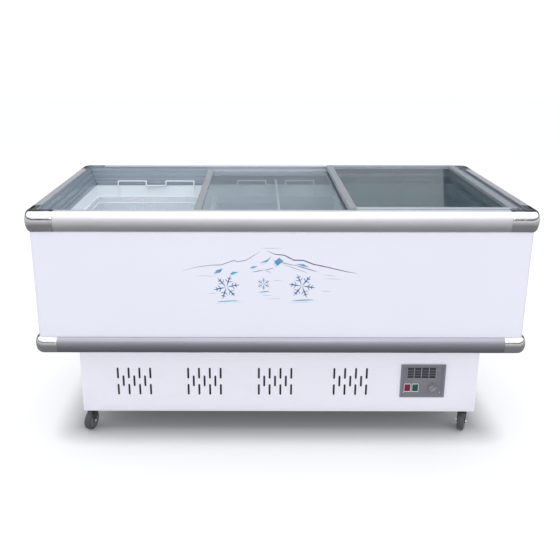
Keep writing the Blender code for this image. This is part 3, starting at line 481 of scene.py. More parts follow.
# %% [markdown]
# ## Small mesh tools
# Almost every piece is one outline carried along a path. `loft` joins rings of points with quads, `strip`
# gives a bent line the thickness of its sheet, `rounded` softens a path's corners, and `wire` runs a round
# section along a path. They are written once here, so that each piece below can be short.

# %% Mesh helpers
def loft(bm, rings, closed=True, caps=True, loop=False):
    """Joins rings with the same number of points by quads, and closes the first and last ring."""
    rows = [[bm.verts.new(point) for point in ring] for ring in rings]
    pairs = list(zip(rows, rows[1:]))
    if loop:
        pairs.append((rows[-1], rows[0]))
    count = len(rows[0])
    for low, high in pairs:
        for i in range(count if closed else count - 1):
            j = (i + 1) % count
            bm.faces.new((low[i], low[j], high[j], high[i]))
    if caps and not loop:
        bm.faces.new(rows[0][::-1])
        bm.faces.new(rows[-1])


def rounded(points, radius, steps=4, closed=False):
    """The same path with each corner replaced by a soft bend."""
    points = [Vector(point) for point in points]
    bent = []
    for i, corner in enumerate(points):
        if not closed and i in (0, len(points) - 1):
            bent.append(corner)
            continue
        back = points[i - 1] - corner
        onward = points[(i + 1) % len(points)] - corner
        start = corner + back.normalized() * min(radius, back.length * 0.49)
        finish = corner + onward.normalized() * min(radius, onward.length * 0.49)
        for k in range(steps + 1):
            t = k / steps
            bent.append(start * (1 - t) ** 2 + corner * 2 * t * (1 - t) + finish * t * t)
    return bent


def strip(path, thickness):
    """The outline of a bent sheet whose visible face is the path and whose metal is on its right."""
    path = [Vector(point) for point in path]
    normals = []
    for a, b in zip(path, path[1:]):
        along = (b - a).normalized()
        normals.append(Vector((along.y, -along.x)))
    back = []
    for i, point in enumerate(path):
        before = normals[max(i - 1, 0)]
        after = normals[min(i, len(normals) - 1)]
        back.append(point + (before + after) * thickness / (1 + before.dot(after)))
    return path + back[::-1]


def arc(centre, radii, start_deg, end_deg, steps):
    angles = [math.radians(start_deg + (end_deg - start_deg) * i / steps) for i in range(steps + 1)]
    return [(centre[0] + radii[0] * math.cos(a), centre[1] + radii[1] * math.sin(a)) for a in angles]


def rounded_rectangle(half, radius, steps=6):
    points = []
    for sx, sy, start in ((1, 1, 0), (-1, 1, 90), (-1, -1, 180), (1, -1, 270)):
        centre = (sx * (half[0] - radius), sy * (half[1] - radius))
        points += arc(centre, (radius, radius), start, start + 90, steps)
    return points


def wire(bm, points, radius, sides=6, closed=False):
    """A round wire through the points. The section is carried along without twisting."""
    points = [Vector(point) for point in points]
    rings, across = [], None
    for i, point in enumerate(points):
        before = points[i - 1] if closed or i else point
        after = points[(i + 1) % len(points)] if closed or i < len(points) - 1 else point
        along = (after - before).normalized()
        across = along.orthogonal() if across is None else across - along * across.dot(along)
        across.normalize()
        other = along.cross(across)
        turns = [2 * math.pi * k / sides for k in range(sides)]
        rings.append([point + (across * math.cos(t) + other * math.sin(t)) * radius for t in turns])
    loft(bm, rings, loop=closed)


def turned(bm, profile, steps=32, place=None, closed=False):
    """A shape turned about its own Z axis from (radius, height) points."""
    place = place or Matrix.Identity(4)
    rings = []
    for radius, height in profile:
        angles = [2 * math.pi * k / steps for k in range(steps if radius > 0 else 1)]
        ring = [Vector((radius * math.cos(a), radius * math.sin(a), height)) for a in angles]
        rings.append([bm.verts.new(place @ point) for point in ring])
    for low, high in zip(rings, rings[1:] + (rings[:1] if closed else [])):
        for i in range(steps):
            j = i + 1
            corners = [low[i % len(low)], low[j % len(low)], high[j % len(high)], high[i % len(high)]]
            bm.faces.new(list(dict.fromkeys(corners)))


def block(bm, low, high, radius=0.0, segments=2):
    """A block between two corners with its edges rounded."""
    made = bmesh.ops.create_cube(bm, size=1.0)["verts"]
    size, centre = Vector(high) - Vector(low), (Vector(high) + Vector(low)) / 2
    bmesh.ops.scale(bm, vec=size, verts=made)
    bmesh.ops.translate(bm, vec=centre, verts=made)
    if radius:
        edges = list({edge for vertex in made for edge in vertex.link_edges})
        bmesh.ops.bevel(bm, geom=edges, offset=radius, segments=segments, profile=0.5, affect="EDGES")


def absorb(bm, other):
    """Moves another shape into this one."""
    scratch = bpy.data.meshes.new("scratch")
    other.to_mesh(scratch)
    other.free()
    bm.from_mesh(scratch)
    bpy.data.meshes.remove(scratch)


# %% [markdown]
# `new_piece` turns a finished mesh into an object: it names it, smooths it up to a set angle, gives it its
# material, lets it ride on a body and hides the solids it stands for. `eased` starts from the
# solid itself where its shape is already right, and only rounds its sharp edges so that they catch the light.

# %% Pieces
def new_piece(name, bm, material, slot, body="cabinet", stands_for=(), crease=35):
    bmesh.ops.recalc_face_normals(bm, faces=bm.faces)
    mesh = bpy.data.meshes.new(name)
    bm.to_mesh(mesh)
    bm.free()
    mesh.materials.append(material)
    mesh.shade_smooth()
    mesh.set_sharp_from_angle(angle=math.radians(crease))
    piece = bpy.data.objects.new(name, mesh)
    scene.collection.objects.link(piece)
    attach(piece, body)
    if stands_for:
        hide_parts(*stands_for)
    return piece


def eased(name, node, material, slot, radius, body="cabinet", segments=2, crease=35):
    """A copy of a solid with its sharp edges rounded."""
    bm = bmesh.new()
    bm.from_mesh(nodes[node].data)
    bmesh.ops.remove_doubles(bm, verts=bm.verts, dist=0.00001)
    bmesh.ops.dissolve_limit(bm, angle_limit=math.radians(2), verts=bm.verts, edges=bm.edges)
    sharp = [edge for edge in bm.edges if edge.is_manifold and edge.calc_face_angle() > math.radians(40)]
    bmesh.ops.bevel(
        bm, geom=sharp, offset=radius, segments=segments, profile=0.5, affect="EDGES", clamp_overlap=True
    )
    return new_piece(name, bm, material, slot, body, [node], crease)


def on_side(side, along, inward, height):
    """A point beside one side of the cabinet: how far along it, how far in from the rails, how high."""
    if side == "front":
        return Vector((along, inward - HALF_Y, height))
    if side == "rear":
        return Vector((-along, HALF_Y - inward, height))
    if side == "right":
        return Vector((HALF_X - inward, along, height))
    return Vector((inward - HALF_X, -along, height))


def at_corner(corner, along, across, height):
    """A point near one corner, with both distances measured inwards from that corner."""
    x, y = {
        "front_left": (along - HALF_X, across - HALF_Y),
        "front_right": (HALF_X - across, along - HALF_Y),
        "rear_right": (HALF_X - along, HALF_Y - across),
        "rear_left": (across - HALF_X, HALF_Y - along),
    }[corner]
    return Vector((x, y, height))


SIDES = ("front", "right", "rear", "left")
CORNERS = ("front_left", "front_right", "rear_right", "rear_left")
GRAIN = {"front": "x", "rear": "x", "left": "y", "right": "y"}
REACH = {"front": HALF_X, "rear": HALF_X, "left": HALF_Y, "right": HALF_Y}

# %% [markdown]
# ## Steel skins
# Front and back are each one folded sheet that wraps both upright corners, and the ends are flat sheets let
# in between them. The sheet runs up behind the top rail, where its raw edge is hidden. A sheet swept round
# the corner as one strip gives the real fold radius, which a bevelled box would not.

# %% Skins
SKIN = 0.001
FOLD_STEPS = 10
FOLD_RADIUS = 0.0238
front_low, front_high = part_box("front_panel")
wrap_back = front_high.y
skin_top = (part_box("top_rail_front")[0].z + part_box("top_rail_front")[1].z) / 2
for side, turn in (("front", 1), ("rear", -1)):
    x, y, r = front_high.x, -front_low.y, FOLD_RADIUS
    path = [(x, wrap_back)] + arc((x - r, r - y), (r, r), 0, -90, FOLD_STEPS)
    path += arc((r - x, r - y), (r, r), -90, -180, FOLD_STEPS) + [(-x, wrap_back)]
    bm = bmesh.new()
    outline = [(turn * px, turn * py) for px, py in strip(path, SKIN)]
    loft(bm, [[(px, py, z) for px, py in outline] for z in (front_low.z, skin_top)])
    new_piece(f"{side}_skin", bm, ENAMEL, "white_enamel", stands_for=[f"{side}_panel"], crease=20)

for side, sign in (("left", -1), ("right", 1)):
    low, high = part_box(f"{side}_end_panel")
    bm = bmesh.new()
    block(bm, low, (high.x, high.y, skin_top), 0.0002)
    new_piece(f"{side}_end_skin", bm, ENAMEL, "white_enamel", stands_for=[f"{side}_end_panel"])
print("skins from", round(front_low.z, 4), "to", round(skin_top, 4))

# %% [markdown]
# ## Bumper rails and corner caps
# Trolleys hit the freezer at the rails, so both levels have a rounded aluminium extrusion with a plated cap
# over every corner. One profile serves both: the caps take it round the corner, a millimetre further out. The
# cap's profile shrinks a little at its two ends and in a groove near them, as a moulded part does. A black
# insert closes the inner edge of each top cap.

# %% Rail profiles
RAIL_WALL = 0.0025
BULGE_U = 0.0142
RAIL_PROUD = 0.001
rail_low, rail_high = (corner.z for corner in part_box("top_cap_front_left"))
BULGE_Z = rail_low + 0.0375
LIP_U = 0.038
low_rail_low, low_rail_high = (corner.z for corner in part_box("bottom_cap_front_left"))
LOW_LIP_U = 0.0142
ARC_STEPS = 14


def top_profile(inset):
    """The top rail's section as (inward, height) points, inset metres inside the cap's face."""
    reach = BULGE_U - inset
    path = arc((BULGE_U, BULGE_Z), (reach, BULGE_Z - rail_low - inset * 0.3), 270, 180, ARC_STEPS)
    path += arc((BULGE_U, BULGE_Z), (reach, rail_high - BULGE_Z - inset * 0.3), 180, 90, ARC_STEPS)[1:]
    path += [(LIP_U, rail_high - inset * 0.3)]
    return strip(path, RAIL_WALL)


def low_profile(inset):
    middle = (low_rail_low + low_rail_high) / 2
    rise = (low_rail_high - low_rail_low) / 2 - inset * 0.3
    path = arc((LOW_LIP_U, middle), (LOW_LIP_U - inset, rise), 270, 90, 2 * ARC_STEPS)
    return [Vector((min(point.x, LOW_LIP_U), point.y)) for point in strip(path, RAIL_WALL)]


LEVELS = {
    "top": (top_profile, 0.105, "rail_aluminium", RAIL),
    "bottom": (low_profile, 0.085, "rail_aluminium", SHADED_LOW_RAIL),
}

# %% Straight rails
for level, (profile, leg, slot, finishes) in LEVELS.items():
    section = profile(RAIL_PROUD)
    for side in SIDES:
        reach = REACH[side] - leg - 0.0003
        bm = bmesh.new()
        loft(bm, [[on_side(side, along, u, z) for u, z in section] for along in (-reach, reach)])
        finish = finishes[GRAIN[side]]
        new_piece(f"{level}_bumper_{side}", bm, finish, slot, stands_for=[f"{level}_rail_{side}"])
print("top rail", round(1000 * (rail_high - rail_low), 1), "mm high")

# %% Corner caps
CAP_RADIUS = 0.0383
CAP_STEPS = 14
CAP_END = ((0.0, 0.0009), (0.0003, 0.0004), (0.0009, 0.0))
CAP_GROOVE = ((0.0100, 0.0), (0.0104, 0.0006), (0.0120, 0.0006), (0.0124, 0.0))


def cap_stations(leg):
    """Where the cap's section is set: along one leg, round the corner, along the other leg."""
    straight = [(leg - distance, inset) for distance, inset in CAP_END + CAP_GROOVE]
    straight.append((CAP_RADIUS, 0.0))
    yield from ((("leg", along), inset) for along, inset in straight)
    for k in range(1, CAP_STEPS):
        yield ("arc", math.pi / 2 * k / CAP_STEPS), 0.0
    yield from ((("far", along), inset) for along, inset in reversed(straight))


def cap_point(corner, station, u, z):
    kind, value = station
    if kind == "leg":
        return at_corner(corner, value, u, z)
    if kind == "far":
        return at_corner(corner, u, value, z)
    out = CAP_RADIUS - u
    return at_corner(corner, CAP_RADIUS - out * math.sin(value), CAP_RADIUS - out * math.cos(value), z)


def carry_round(bm, corner, stations, profile):
    rings = []
    for station, inset in stations:
        rings.append([cap_point(corner, station, u, z) for u, z in profile(inset)])
    loft(bm, rings)


for level, (profile, leg, slot, finishes) in LEVELS.items():
    for corner in CORNERS:
        bm = bmesh.new()
        carry_round(bm, corner, cap_stations(leg), profile)
        name = f"{level}_corner_{corner}"
        new_piece(name, bm, CHROME, "cap_chrome", stands_for=[f"{level}_cap_{corner}"])

# %% Black inserts on the top caps
INSERT_LEG = 0.100


def insert_profile(inset):
    low, high = rail_high - 0.0002, rail_high + 0.0014
    corners = [(0.0275, low), (0.0275, high), (0.0377, high), (0.0377, low)]
    return rounded(corners, 0.0004, 2, closed=True)


insert_stations = [(("leg", INSERT_LEG), 0.0), (("leg", CAP_RADIUS), 0.0)]
insert_stations += [(("arc", math.pi / 2 * k / 6), 0.0) for k in range(1, 6)]
insert_stations += [(("far", CAP_RADIUS), 0.0), (("far", INSERT_LEG), 0.0)]
for corner in CORNERS:
    bm = bmesh.new()
    carry_round(bm, corner, insert_stations, insert_profile)
    new_piece(f"corner_insert_{corner}", bm, BLACK_PLASTIC, "gland_black")
print("corner caps:", 2 * len(CORNERS))

# %% [markdown]
# ## Stepped lid tracks
# Inside the rail an extrusion steps down like a stair. Each lid slides on its own step, and the lowest step
# carries the baskets. The section is the visible line of the stair with soft bends, given the thickness of
# the metal, and its ends are cut at 45 degrees to meet in the corners.

# %% Tracks
TRACK_WALL = 0.0015
TRACK_RIM_U = 0.0398
STEPS = ((0.046, 0.921), (0.054, 0.900), (0.062, 0.879), (0.070, 0.866))
FLANGE_U = 0.045
track_low, track_high = (corner.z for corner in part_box("track_frame_front"))
stair = [(TRACK_RIM_U, track_high)]
inward = TRACK_RIM_U
for next_inward, height in STEPS:
    stair += [(inward, height), (next_inward, height)]
    inward = next_inward
stair += [(inward, track_low), (FLANGE_U, track_low)]
stair_section = strip(rounded(stair, 0.0007, 3), TRACK_WALL)
for side in SIDES:
    bm = bmesh.new()
    rings = []
    for sign in (-1, 1):
        rings.append([on_side(side, sign * (REACH[side] - u - 0.0003), u, z) for u, z in stair_section])
    loft(bm, rings)
    finish = TRACK[GRAIN[side]]
    new_piece(f"lid_track_{side}", bm, finish, "track_aluminium", stands_for=[f"track_frame_{side}"])
print("track levels:", len(STEPS))

# %% [markdown]
# ## Tank
# The liner is drawn with rounded inner corners so that it can be wiped clean. The solid already has the right
# shape, but its corners are three flats, so the shell is made again with more of them.

# %% Tank
liner_low, liner_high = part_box("tank_liner")
LINER_WALL = 0.001
LINER_RADIUS = 0.015
bm = bmesh.new()
bmesh.ops.create_cube(bm, size=2.0)
for vertex in bm.verts:
    vertex.co.x *= liner_high.x - LINER_WALL
    vertex.co.y *= liner_high.y - LINER_WALL
    vertex.co.z = liner_high.z if vertex.co.z > 0 else liner_low.z + LINER_WALL
lid_face = [face for face in bm.faces if face.calc_center_median().z > liner_high.z - 0.001]
bmesh.ops.delete(bm, geom=lid_face, context="FACES_ONLY")
seams = [edge for edge in bm.edges if len(edge.link_faces) == 2]
bmesh.ops.bevel(bm, geom=seams, offset=LINER_RADIUS, segments=8, profile=0.5, affect="EDGES")
bmesh.ops.recalc_face_normals(bm, faces=bm.faces)
tank = new_piece("tank", bm, LINER_FINISH, "liner_white", stands_for=["tank_liner"])
shell = tank.modifiers.new("sheet", "SOLIDIFY")
shell.thickness = LINER_WALL
shell.offset = 1.0

# %% [markdown]
# ## Parts that keep the solid's shape
# Foam, pipe, fins, fan and panes are simple shapes that the solids already give, so they only take their
# finishes. Parts with sharp edges that catch light are copied with those edges rounded.

# %% Parts that keep the solid's shape
KEPT = {
    "cabinet_underside": GALVANISED,
    "insulation_foam": FOAM,
    "evaporator_coil": COPPER,
    "condenser": FIN,
    "fan_rotor": BLACK_PLASTIC,
    "lid_left_glass": CLEAR_GLASS,
    "lid_middle_glass": CLEAR_GLASS,
    "lid_right_glass": DARK_GLASS,
}
for node, finish in KEPT.items():
    nodes[node].data.materials[0] = finish

eased("tie_bar", "centre_tie_bar", WIRE_COAT, "tie_bar_white", 0.0003)
eased("floor_tray", "base_tray", GALVANISED, "tray_steel", 0.0003)
eased("compressor_shell", "compressor", BLACK_PAINT, "compressor_black", 0.002)
eased("shroud", "fan_shroud", BLACK_PLASTIC, "fan_black", 0.001)
eased("gland", "cord_gland", BLACK_PLASTIC, "gland_black", 0.0006)
print("solids kept as they are:", len(KEPT))

# %% [markdown]
# ## Sliding lids
# A lid is a pane held in an aluminium frame. Its two side bars are broad and ribbed, because hands push them,
# and the bars that run on the ledges are slim. Each side bar is an extrusion with a row of grooves on top,
# and a grey plug with a screw closes each of its ends.

# %% Lid frames
PLUG_GREY = moulded("plug_grey_finish", (0.30, 0.31, 0.34), 0.45)
BAR_WIDTH = 0.026
END_BAR = 0.010
PLUG = 0.0035
GLASS_BITE = 0.005
RIBS = 5


def side_bar_section(height, glass_low, glass_high):
    """Across a side bar: x from the outer face, z from the underside, ribs on top, a slot for the pane."""
    outline = [(0.0012, 0.0), (0.0, 0.0012), (0.0, height - 0.0012), (0.0012, height)]
    pitch = (BAR_WIDTH - 0.005) / RIBS
    for i in range(RIBS):
        left = 0.0025 + i * pitch
        outline += [(left, height), (left + 0.0007, height - 0.0011)]
        outline += [(left + pitch - 0.0014, height - 0.0011), (left + pitch - 0.0007, height)]
    inner = BAR_WIDTH
    bite = BAR_WIDTH - GLASS_BITE - 0.0004
    outline += [(inner - 0.0008, height), (inner, height - 0.0008), (inner, glass_high)]
    outline += [(bite, glass_high), (bite, glass_low), (inner, glass_low), (inner, 0.0008)]
    outline += [(inner - 0.0008, 0.0)]
    return outline


def make_lid(lid):
    low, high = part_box(f"{lid}_frame")
    pane_low, pane_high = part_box(f"{lid}_glass")
    height = high.z - low.z
    slot_low = pane_low.z - low.z - 0.0002
    slot_high = pane_high.z - low.z + 0.0002
    section = side_bar_section(height, slot_low, slot_high)
    bars, plugs, screws = bmesh.new(), bmesh.new(), bmesh.new()
    for sign, outer in ((1, low.x), (-1, high.x)):
        rings = []
        for y in (low.y + PLUG, high.y - PLUG):
            rings.append([(outer + sign * x, y, low.z + z) for x, z in section])
        loft(bars, rings)
        for face, inside in ((low.y, low.y + PLUG), (high.y, high.y - PLUG)):
            near, far = sorted((face, inside))
            left, right = sorted((outer + sign * 0.0004, outer + sign * (BAR_WIDTH - 0.0004)))
            block(plugs, (left, near, low.z + 0.0004), (right, far, high.z - 0.0006), 0.0008)
            out = -1 if face < 0 else 1
            centre = Vector(((left + right) / 2, face - out * 0.0002, (low.z + high.z) / 2 + 0.001))
            place = Matrix.Translation(centre) @ Matrix.Rotation(-out * math.pi / 2, 4, "X")
            turned(screws, [(0, 0.0001), (0.0024, 0.0001), (0.0028, -0.0003), (0, -0.0012)], 16, place)
    new_piece(f"{lid}_side_bars", bars, LID_BAR["y"], "lid_aluminium", lid, [f"{lid}_frame"])
    new_piece(f"{lid}_plugs", plugs, PLUG_GREY, "knob_grey", lid)
    new_piece(f"{lid}_screws", screws, ZINC, "cap_chrome", lid)

    ends = bmesh.new()
    for sign, outer in ((1, low.y), (-1, high.y)):
        bite = END_BAR - GLASS_BITE - 0.0004
        outline = [(0.0008, 0), (0, 0.0008), (0, height * 0.42), (0.0007, height * 0.45)]
        outline += [(0.0007, height * 0.55), (0, height * 0.58), (0, height - 0.0008), (0.0008, height)]
        outline += [(END_BAR - 0.0008, height), (END_BAR, height - 0.0008), (END_BAR, slot_high)]
        outline += [(bite, slot_high), (bite, slot_low), (END_BAR, slot_low), (END_BAR, 0.0008)]
        outline += [(END_BAR - 0.0008, 0)]
        rings = []
        for x in (low.x + BAR_WIDTH + 0.0001, high.x - BAR_WIDTH - 0.0001):
            rings.append([(x, outer + sign * y, low.z + z) for y, z in outline])
        loft(ends, rings)
    new_piece(f"{lid}_end_bars", ends, LID_BAR["x"], "lid_aluminium", lid)


for lid in ("lid_left", "lid_middle", "lid_right"):
    make_lid(lid)
    frame_low, frame_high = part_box(f"{lid}_frame")
    print(lid, "frame", [round(1000 * side) for side in frame_high - frame_low], "mm")

# %% [markdown]
# ## Wire baskets
# The solids are plain bins. The real baskets are white-dipped wire: a thick rim, a second hoop below it,
# U-shaped wires both ways, and a bent wire front and rear whose loops hook over the lowest ledge. Each wire
# is its own round section swept along a path with soft bends, because that is how the basket is welded up.

# %% Baskets
RIM_WIRE = 0.0044
SECOND_WIRE = 0.0036
GRID_WIRE = 0.0015
HOOK_WIRE = 0.0032
GRID_PITCH = 0.018
GRID_BEND = 0.016
HOOK_BEND = 0.006
CORNER_BEND = 0.02
HOOK_X = (0.0455, 0.1745)
HOOK_Y = (0.3485, 0.357)
HOOK_Z = (0.850, 0.8695)
TAPER = 0.012
RIM_HALF = (0.2695, 0.3395)
BASKET_BASE = 0.600
BASKET_RIM = 0.800
HOOPS = (0.772, 0.728, 0.684, 0.640)


def basket_half(height):
    """Half sizes of the tapered basket at a height."""
    shrink = TAPER * (BASKET_RIM - height) / (BASKET_RIM - BASKET_BASE)
    return RIM_HALF[0] - shrink, RIM_HALF[1] - shrink


def grid_lines(half, pitch):
    count = int(2 * (half - 0.02) / pitch)
    return [(i - count / 2) * pitch for i in range(count + 1)]


def make_basket(name, x):
    bm = bmesh.new()
    half_x, half_y = basket_half(BASKET_RIM)
    rim = [(x + px, py, BASKET_RIM) for px, py in rounded_rectangle((half_x, half_y), CORNER_BEND)]
    wire(bm, rim, RIM_WIRE, sides=10, closed=True)
    for height in HOOPS:
        hx, hy = basket_half(height)
        size = SECOND_WIRE if height == HOOPS[0] else GRID_WIRE
        plan = rounded_rectangle((hx - 0.002, hy - 0.002), CORNER_BEND)
        wire(bm, [(x + px, py, height) for px, py in plan], size, closed=True)
    low_x, low_y = basket_half(BASKET_BASE)
    floor = BASKET_BASE + GRID_WIRE
    top = BASKET_RIM - 0.001
    for gx in grid_lines(half_x, GRID_PITCH):
        across = ((-half_y, top), (-low_y, floor), (low_y, floor), (half_y, top))
        wire(bm, rounded([(x + gx, y, z) for y, z in across], GRID_BEND), GRID_WIRE)
    for gy in grid_lines(half_y, GRID_PITCH):
        up = floor + 2 * GRID_WIRE
        along = ((-half_x, top), (-low_x, up), (low_x, up), (half_x, top))
        wire(bm, rounded([(x + px, gy, z) for px, z in along], GRID_BEND), GRID_WIRE)
    for side in (-1, 1):
        wire(bm, rounded(hook_path(x, side), HOOK_BEND), HOOK_WIRE, sides=8)
    new_piece(name, bm, WIRE_COAT, "basket_white", stands_for=[name.replace("wire_", "")])


def hook_path(x, side):
    """Up from the rim, over the ledge, down between the two loops, and the same again mirrored."""
    inner, outer = HOOK_X
    near, over = HOOK_Y
    hook_low, hook_high = HOOK_Z
    half = [
        (outer, RIM_HALF[1], BASKET_RIM - 0.008),
        (outer, near, hook_high - 0.009),
        (outer, near, hook_high),
        (outer, over, hook_high),
        (inner, over, hook_high),
        (inner, near, hook_high),
        (inner, near, hook_low),
    ]
    other = [(-px, py, pz) for px, py, pz in reversed(half)]
    return [(x + px, side * py, pz) for px, py, pz in half + other]


for name in ("basket_left", "basket_middle", "basket_right"):
    low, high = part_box(name)
    make_basket("wire_" + name, (low.x + high.x) / 2)
print("grid wires a basket:", len(grid_lines(0.27, GRID_PITCH)) + len(grid_lines(0.346, GRID_PITCH)))

# %% [markdown]
# ## Plinth
# Four folded sheets, their slots already cut in the solid. Rounding every edge by a third of a millimetre
# gives the slots the thin bright line that enamel leaves on a pressed edge. A trim strip hides the joint
# with the cabinet. Behind the slots hangs a near-black pleated sheet, made as one folded strip, as painted
# shade for the dark inside of the plinth, and the warm air leaves through pressed louvres in a plate on the
# rear sheet.

# %% Plinth
for side in SIDES:
    eased(f"plinth_sheet_{side}", f"plinth_{side}", PLINTH_LIT_ENAMEL, "white_enamel", 0.0003)
PLINTH_X, PLINTH_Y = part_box("plinth_right")[1].x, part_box("plinth_rear")[1].y
bm = bmesh.new()
trim_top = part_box("plinth_front")[1].z - 0.0002
trim = [(0.0003, trim_top - 0.007), (0.0022, trim_top - 0.006), (0.0022, trim_top), (0.0003, trim_top)]
section = rounded(trim, 0.0006, 3, closed=True)
rings = []
for sx, sy in ((-1, -1), (1, -1), (1, 1), (-1, 1)):
    rings.append([(sx * (PLINTH_X + u), sy * (PLINTH_Y + u), z) for u, z in section])
loft(bm, rings, loop=True)
new_piece("plinth_trim", bm, ENAMEL, "white_enamel")

# %% Dark sheet behind the slots, a painted shade
SLOT_SHADE_X = (-0.70, 0.45)
SLOT_SHADE_Z = (0.165, 0.300)
PLEAT = 0.012
# Painted shade: a near-black sheet behind the slots stands for the dark inside of the plinth.
SLOT_SHADE_FINISH = moulded("slot_shade_sheet_finish", (0.035, 0.034, 0.036), 0.9, grain=420.0, depth=0.0005, dust=0.6)
bm = bmesh.new()
pleats = int((SLOT_SHADE_X[1] - SLOT_SHADE_X[0]) / PLEAT)
face, back = [], []
for i in range(2 * pleats + 1):
    x = SLOT_SHADE_X[0] + i * PLEAT / 2
    depth = 0.0040 if i % 2 else 0.0075
    face.append((x, depth - PLINTH_Y))
    back.append((x, depth + 0.0015 - PLINTH_Y))
loft(bm, [[(x, y, z) for x, y in face + back[::-1]] for z in SLOT_SHADE_Z])
new_piece("slot_shade_sheet", bm, SLOT_SHADE_FINISH, "gland_black", crease=10)
print("shade sheet pleats:", pleats)

# %% Rear grille
grille_low = Vector((-0.14, PLINTH_Y + 0.0002, 0.150))
grille_high = Vector((0.34, PLINTH_Y + 0.0016, 0.365))
LOUVRE_X = ((-0.125, 0.095), (0.105, 0.325))
LOUVRE_PITCH = 0.016
LOUVRE_END = 0.004
LOUVRE_LIP = ((0.0, 0.0), (0.0046, 0.0020), (0.0050, 0.0030), (0.0046, 0.0040), (0.0, 0.0098))
GRILLE_SCREW = [(0, 0.0018), (0.0022, 0.0014), (0.0036, 0.0004), (0.0036, -0.0002), (0, -0.0002)]
bm = bmesh.new()
block(bm, grille_low, grille_high, 0.0006)
count = int((grille_high.z - grille_low.z - 0.03) / LOUVRE_PITCH)
lip_foot = PLINTH_Y + 0.0014
for i in range(count):
    z = grille_low.z + 0.02 + i * LOUVRE_PITCH
    for left, right in LOUVRE_X:
        rings = []
        for x, share in ((left, 0.05), (left + LOUVRE_END, 1.0), (right - LOUVRE_END, 1.0), (right, 0.05)):
            rings.append([(x, lip_foot + proud * share, z + rise) for proud, rise in LOUVRE_LIP])
        loft(bm, rings)
new_piece("rear_grille", bm, PLINTH_LIT_ENAMEL, "white_enamel")
bm = bmesh.new()
for x in (grille_low.x + 0.008, grille_high.x - 0.008):
    for z in (grille_low.z + 0.008, grille_high.z - 0.008):
        place = Matrix.Translation((x, grille_high.y, z)) @ Matrix.Rotation(-math.pi / 2, 4, "X")
        turned(bm, GRILLE_SCREW, 20, place)
new_piece("grille_screws", bm, ZINC, "cap_chrome")
print("louvres:", 2 * count)

# %% [markdown]
# ## Control panel
# A moulded tray is let into the plinth. It carries a row of four louvred windows that let air to the
# controller, two rocker switches in pale surrounds, the thermostat knob with its scale, and a narrow pale
# ledge along its foot. The tray itself is the solid with softened edges. Everything on it is a piece of its
# own, because each is a part that a fitter snaps in.

# %% Panel tray and windows
bezel_low, bezel_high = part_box("control_bezel")
FACE_Y = bezel_low.y + 0.009
eased("panel_tray", "control_bezel", PANEL_GREY, "panel_grey", 0.0008, segments=3)
WINDOW_X = ((0.491, 0.516), (0.520, 0.544), (0.548, 0.573), (0.577, 0.600))
WINDOW_Z = (0.247, 0.290)
SLATS = 4
LEDGE_INSET = 0.013
LEDGE_PROUD = (0.0012, 0.0030)
LEDGE_Z = (0.0085, 0.0105)
WINDOW_BLACK = moulded("window_black_finish", (0.030, 0.030, 0.042), 0.25, dust=0.1, wear=0.0)
SLAT_GREY = moulded("slat_grey_finish", (0.085, 0.085, 0.105), 0.35, dust=0.2)
panes, slats, sills = bmesh.new(), bmesh.new(), bmesh.new()
for left, right in WINDOW_X:
    block(panes, (left, FACE_Y - 0.0006, WINDOW_Z[0]), (right, FACE_Y + 0.0002, WINDOW_Z[1]), 0.0003)
    pitch = (WINDOW_Z[1] - WINDOW_Z[0]) / SLATS
    for i in range(1, SLATS):
        z = WINDOW_Z[0] + i * pitch
        leaf = [(0.0004, z - 0.0012), (0.0022, z - 0.0030), (0.0028, z - 0.0026), (0.0006, z + 0.0010)]
        rings = [[(x, FACE_Y - y, h) for y, h in leaf] for x in (left + 0.0006, right - 0.0006)]
        loft(slats, rings)
    sill_low = (left - 0.0008, FACE_Y - 0.0026, WINDOW_Z[0] - 0.0024)
    block(sills, sill_low, (right + 0.0008, FACE_Y, WINDOW_Z[0] - 0.0002), 0.0005)
for left in (WINDOW_X[0][0] - 0.0022,) + tuple(pair[1] for pair in WINDOW_X):
    post_low = (left + 0.0004, FACE_Y - 0.0024, WINDOW_Z[0])
    block(sills, post_low, (left + 0.0034, FACE_Y, WINDOW_Z[1]), 0.0005)
new_piece("panel_windows", panes, WINDOW_BLACK, "panel_grey")
new_piece("panel_slats", slats, SLAT_GREY, "panel_grey")
new_piece("panel_sills", sills, DIAL_GREY, "panel_grey")
bm = bmesh.new()
ledge_low = (bezel_low.x + LEDGE_INSET, FACE_Y - LEDGE_PROUD[1], bezel_low.z + LEDGE_Z[0])
ledge_high = (bezel_high.x - LEDGE_INSET, FACE_Y - LEDGE_PROUD[0], bezel_low.z + LEDGE_Z[1])
block(bm, ledge_low, ledge_high, 0.0006)
new_piece("panel_ledge", bm, PALE_PLASTIC, "panel_grey")

# %% Rockers, surrounds and knob
ROCKERS = {"rocker_red": RED_PLASTIC, "rocker_green": GREEN_PLASTIC}
SURROUND = (0.0132, 0.0178)
ROCKER_HOLE = (0.01125, 0.0150)
bm = bmesh.new()
rocker_z = (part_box("rocker_red")[0].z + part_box("rocker_red")[1].z) / 2 + 0.0005
for node, finish in ROCKERS.items():
    low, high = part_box(node)
    x = (low.x + high.x) / 2
    rings = []
    for (half_w, half_h), radius, y in (
        (ROCKER_HOLE, 0.0016, FACE_Y + 0.0002),
        (SURROUND, 0.0035, FACE_Y + 0.0002),
        (SURROUND, 0.0035, FACE_Y - 0.0022),
        ((SURROUND[0] - 0.0005, SURROUND[1] - 0.0005), 0.0032, FACE_Y - 0.0028),
        ((ROCKER_HOLE[0] + 0.0004, ROCKER_HOLE[1] + 0.0004), 0.0020, FACE_Y - 0.0028),
        (ROCKER_HOLE, 0.0016, FACE_Y - 0.0022),
    ):
        outline = rounded_rectangle((half_w, half_h), radius)
        rings.append([(x + px, y, rocker_z + pz) for px, pz in outline])
    loft(bm, rings, loop=True)
    eased(node + "_cap", node, finish, node, 0.0009, body=node + "_body", segments=3)
new_piece("rocker_surrounds", bm, PALE_PLASTIC, "panel_grey")

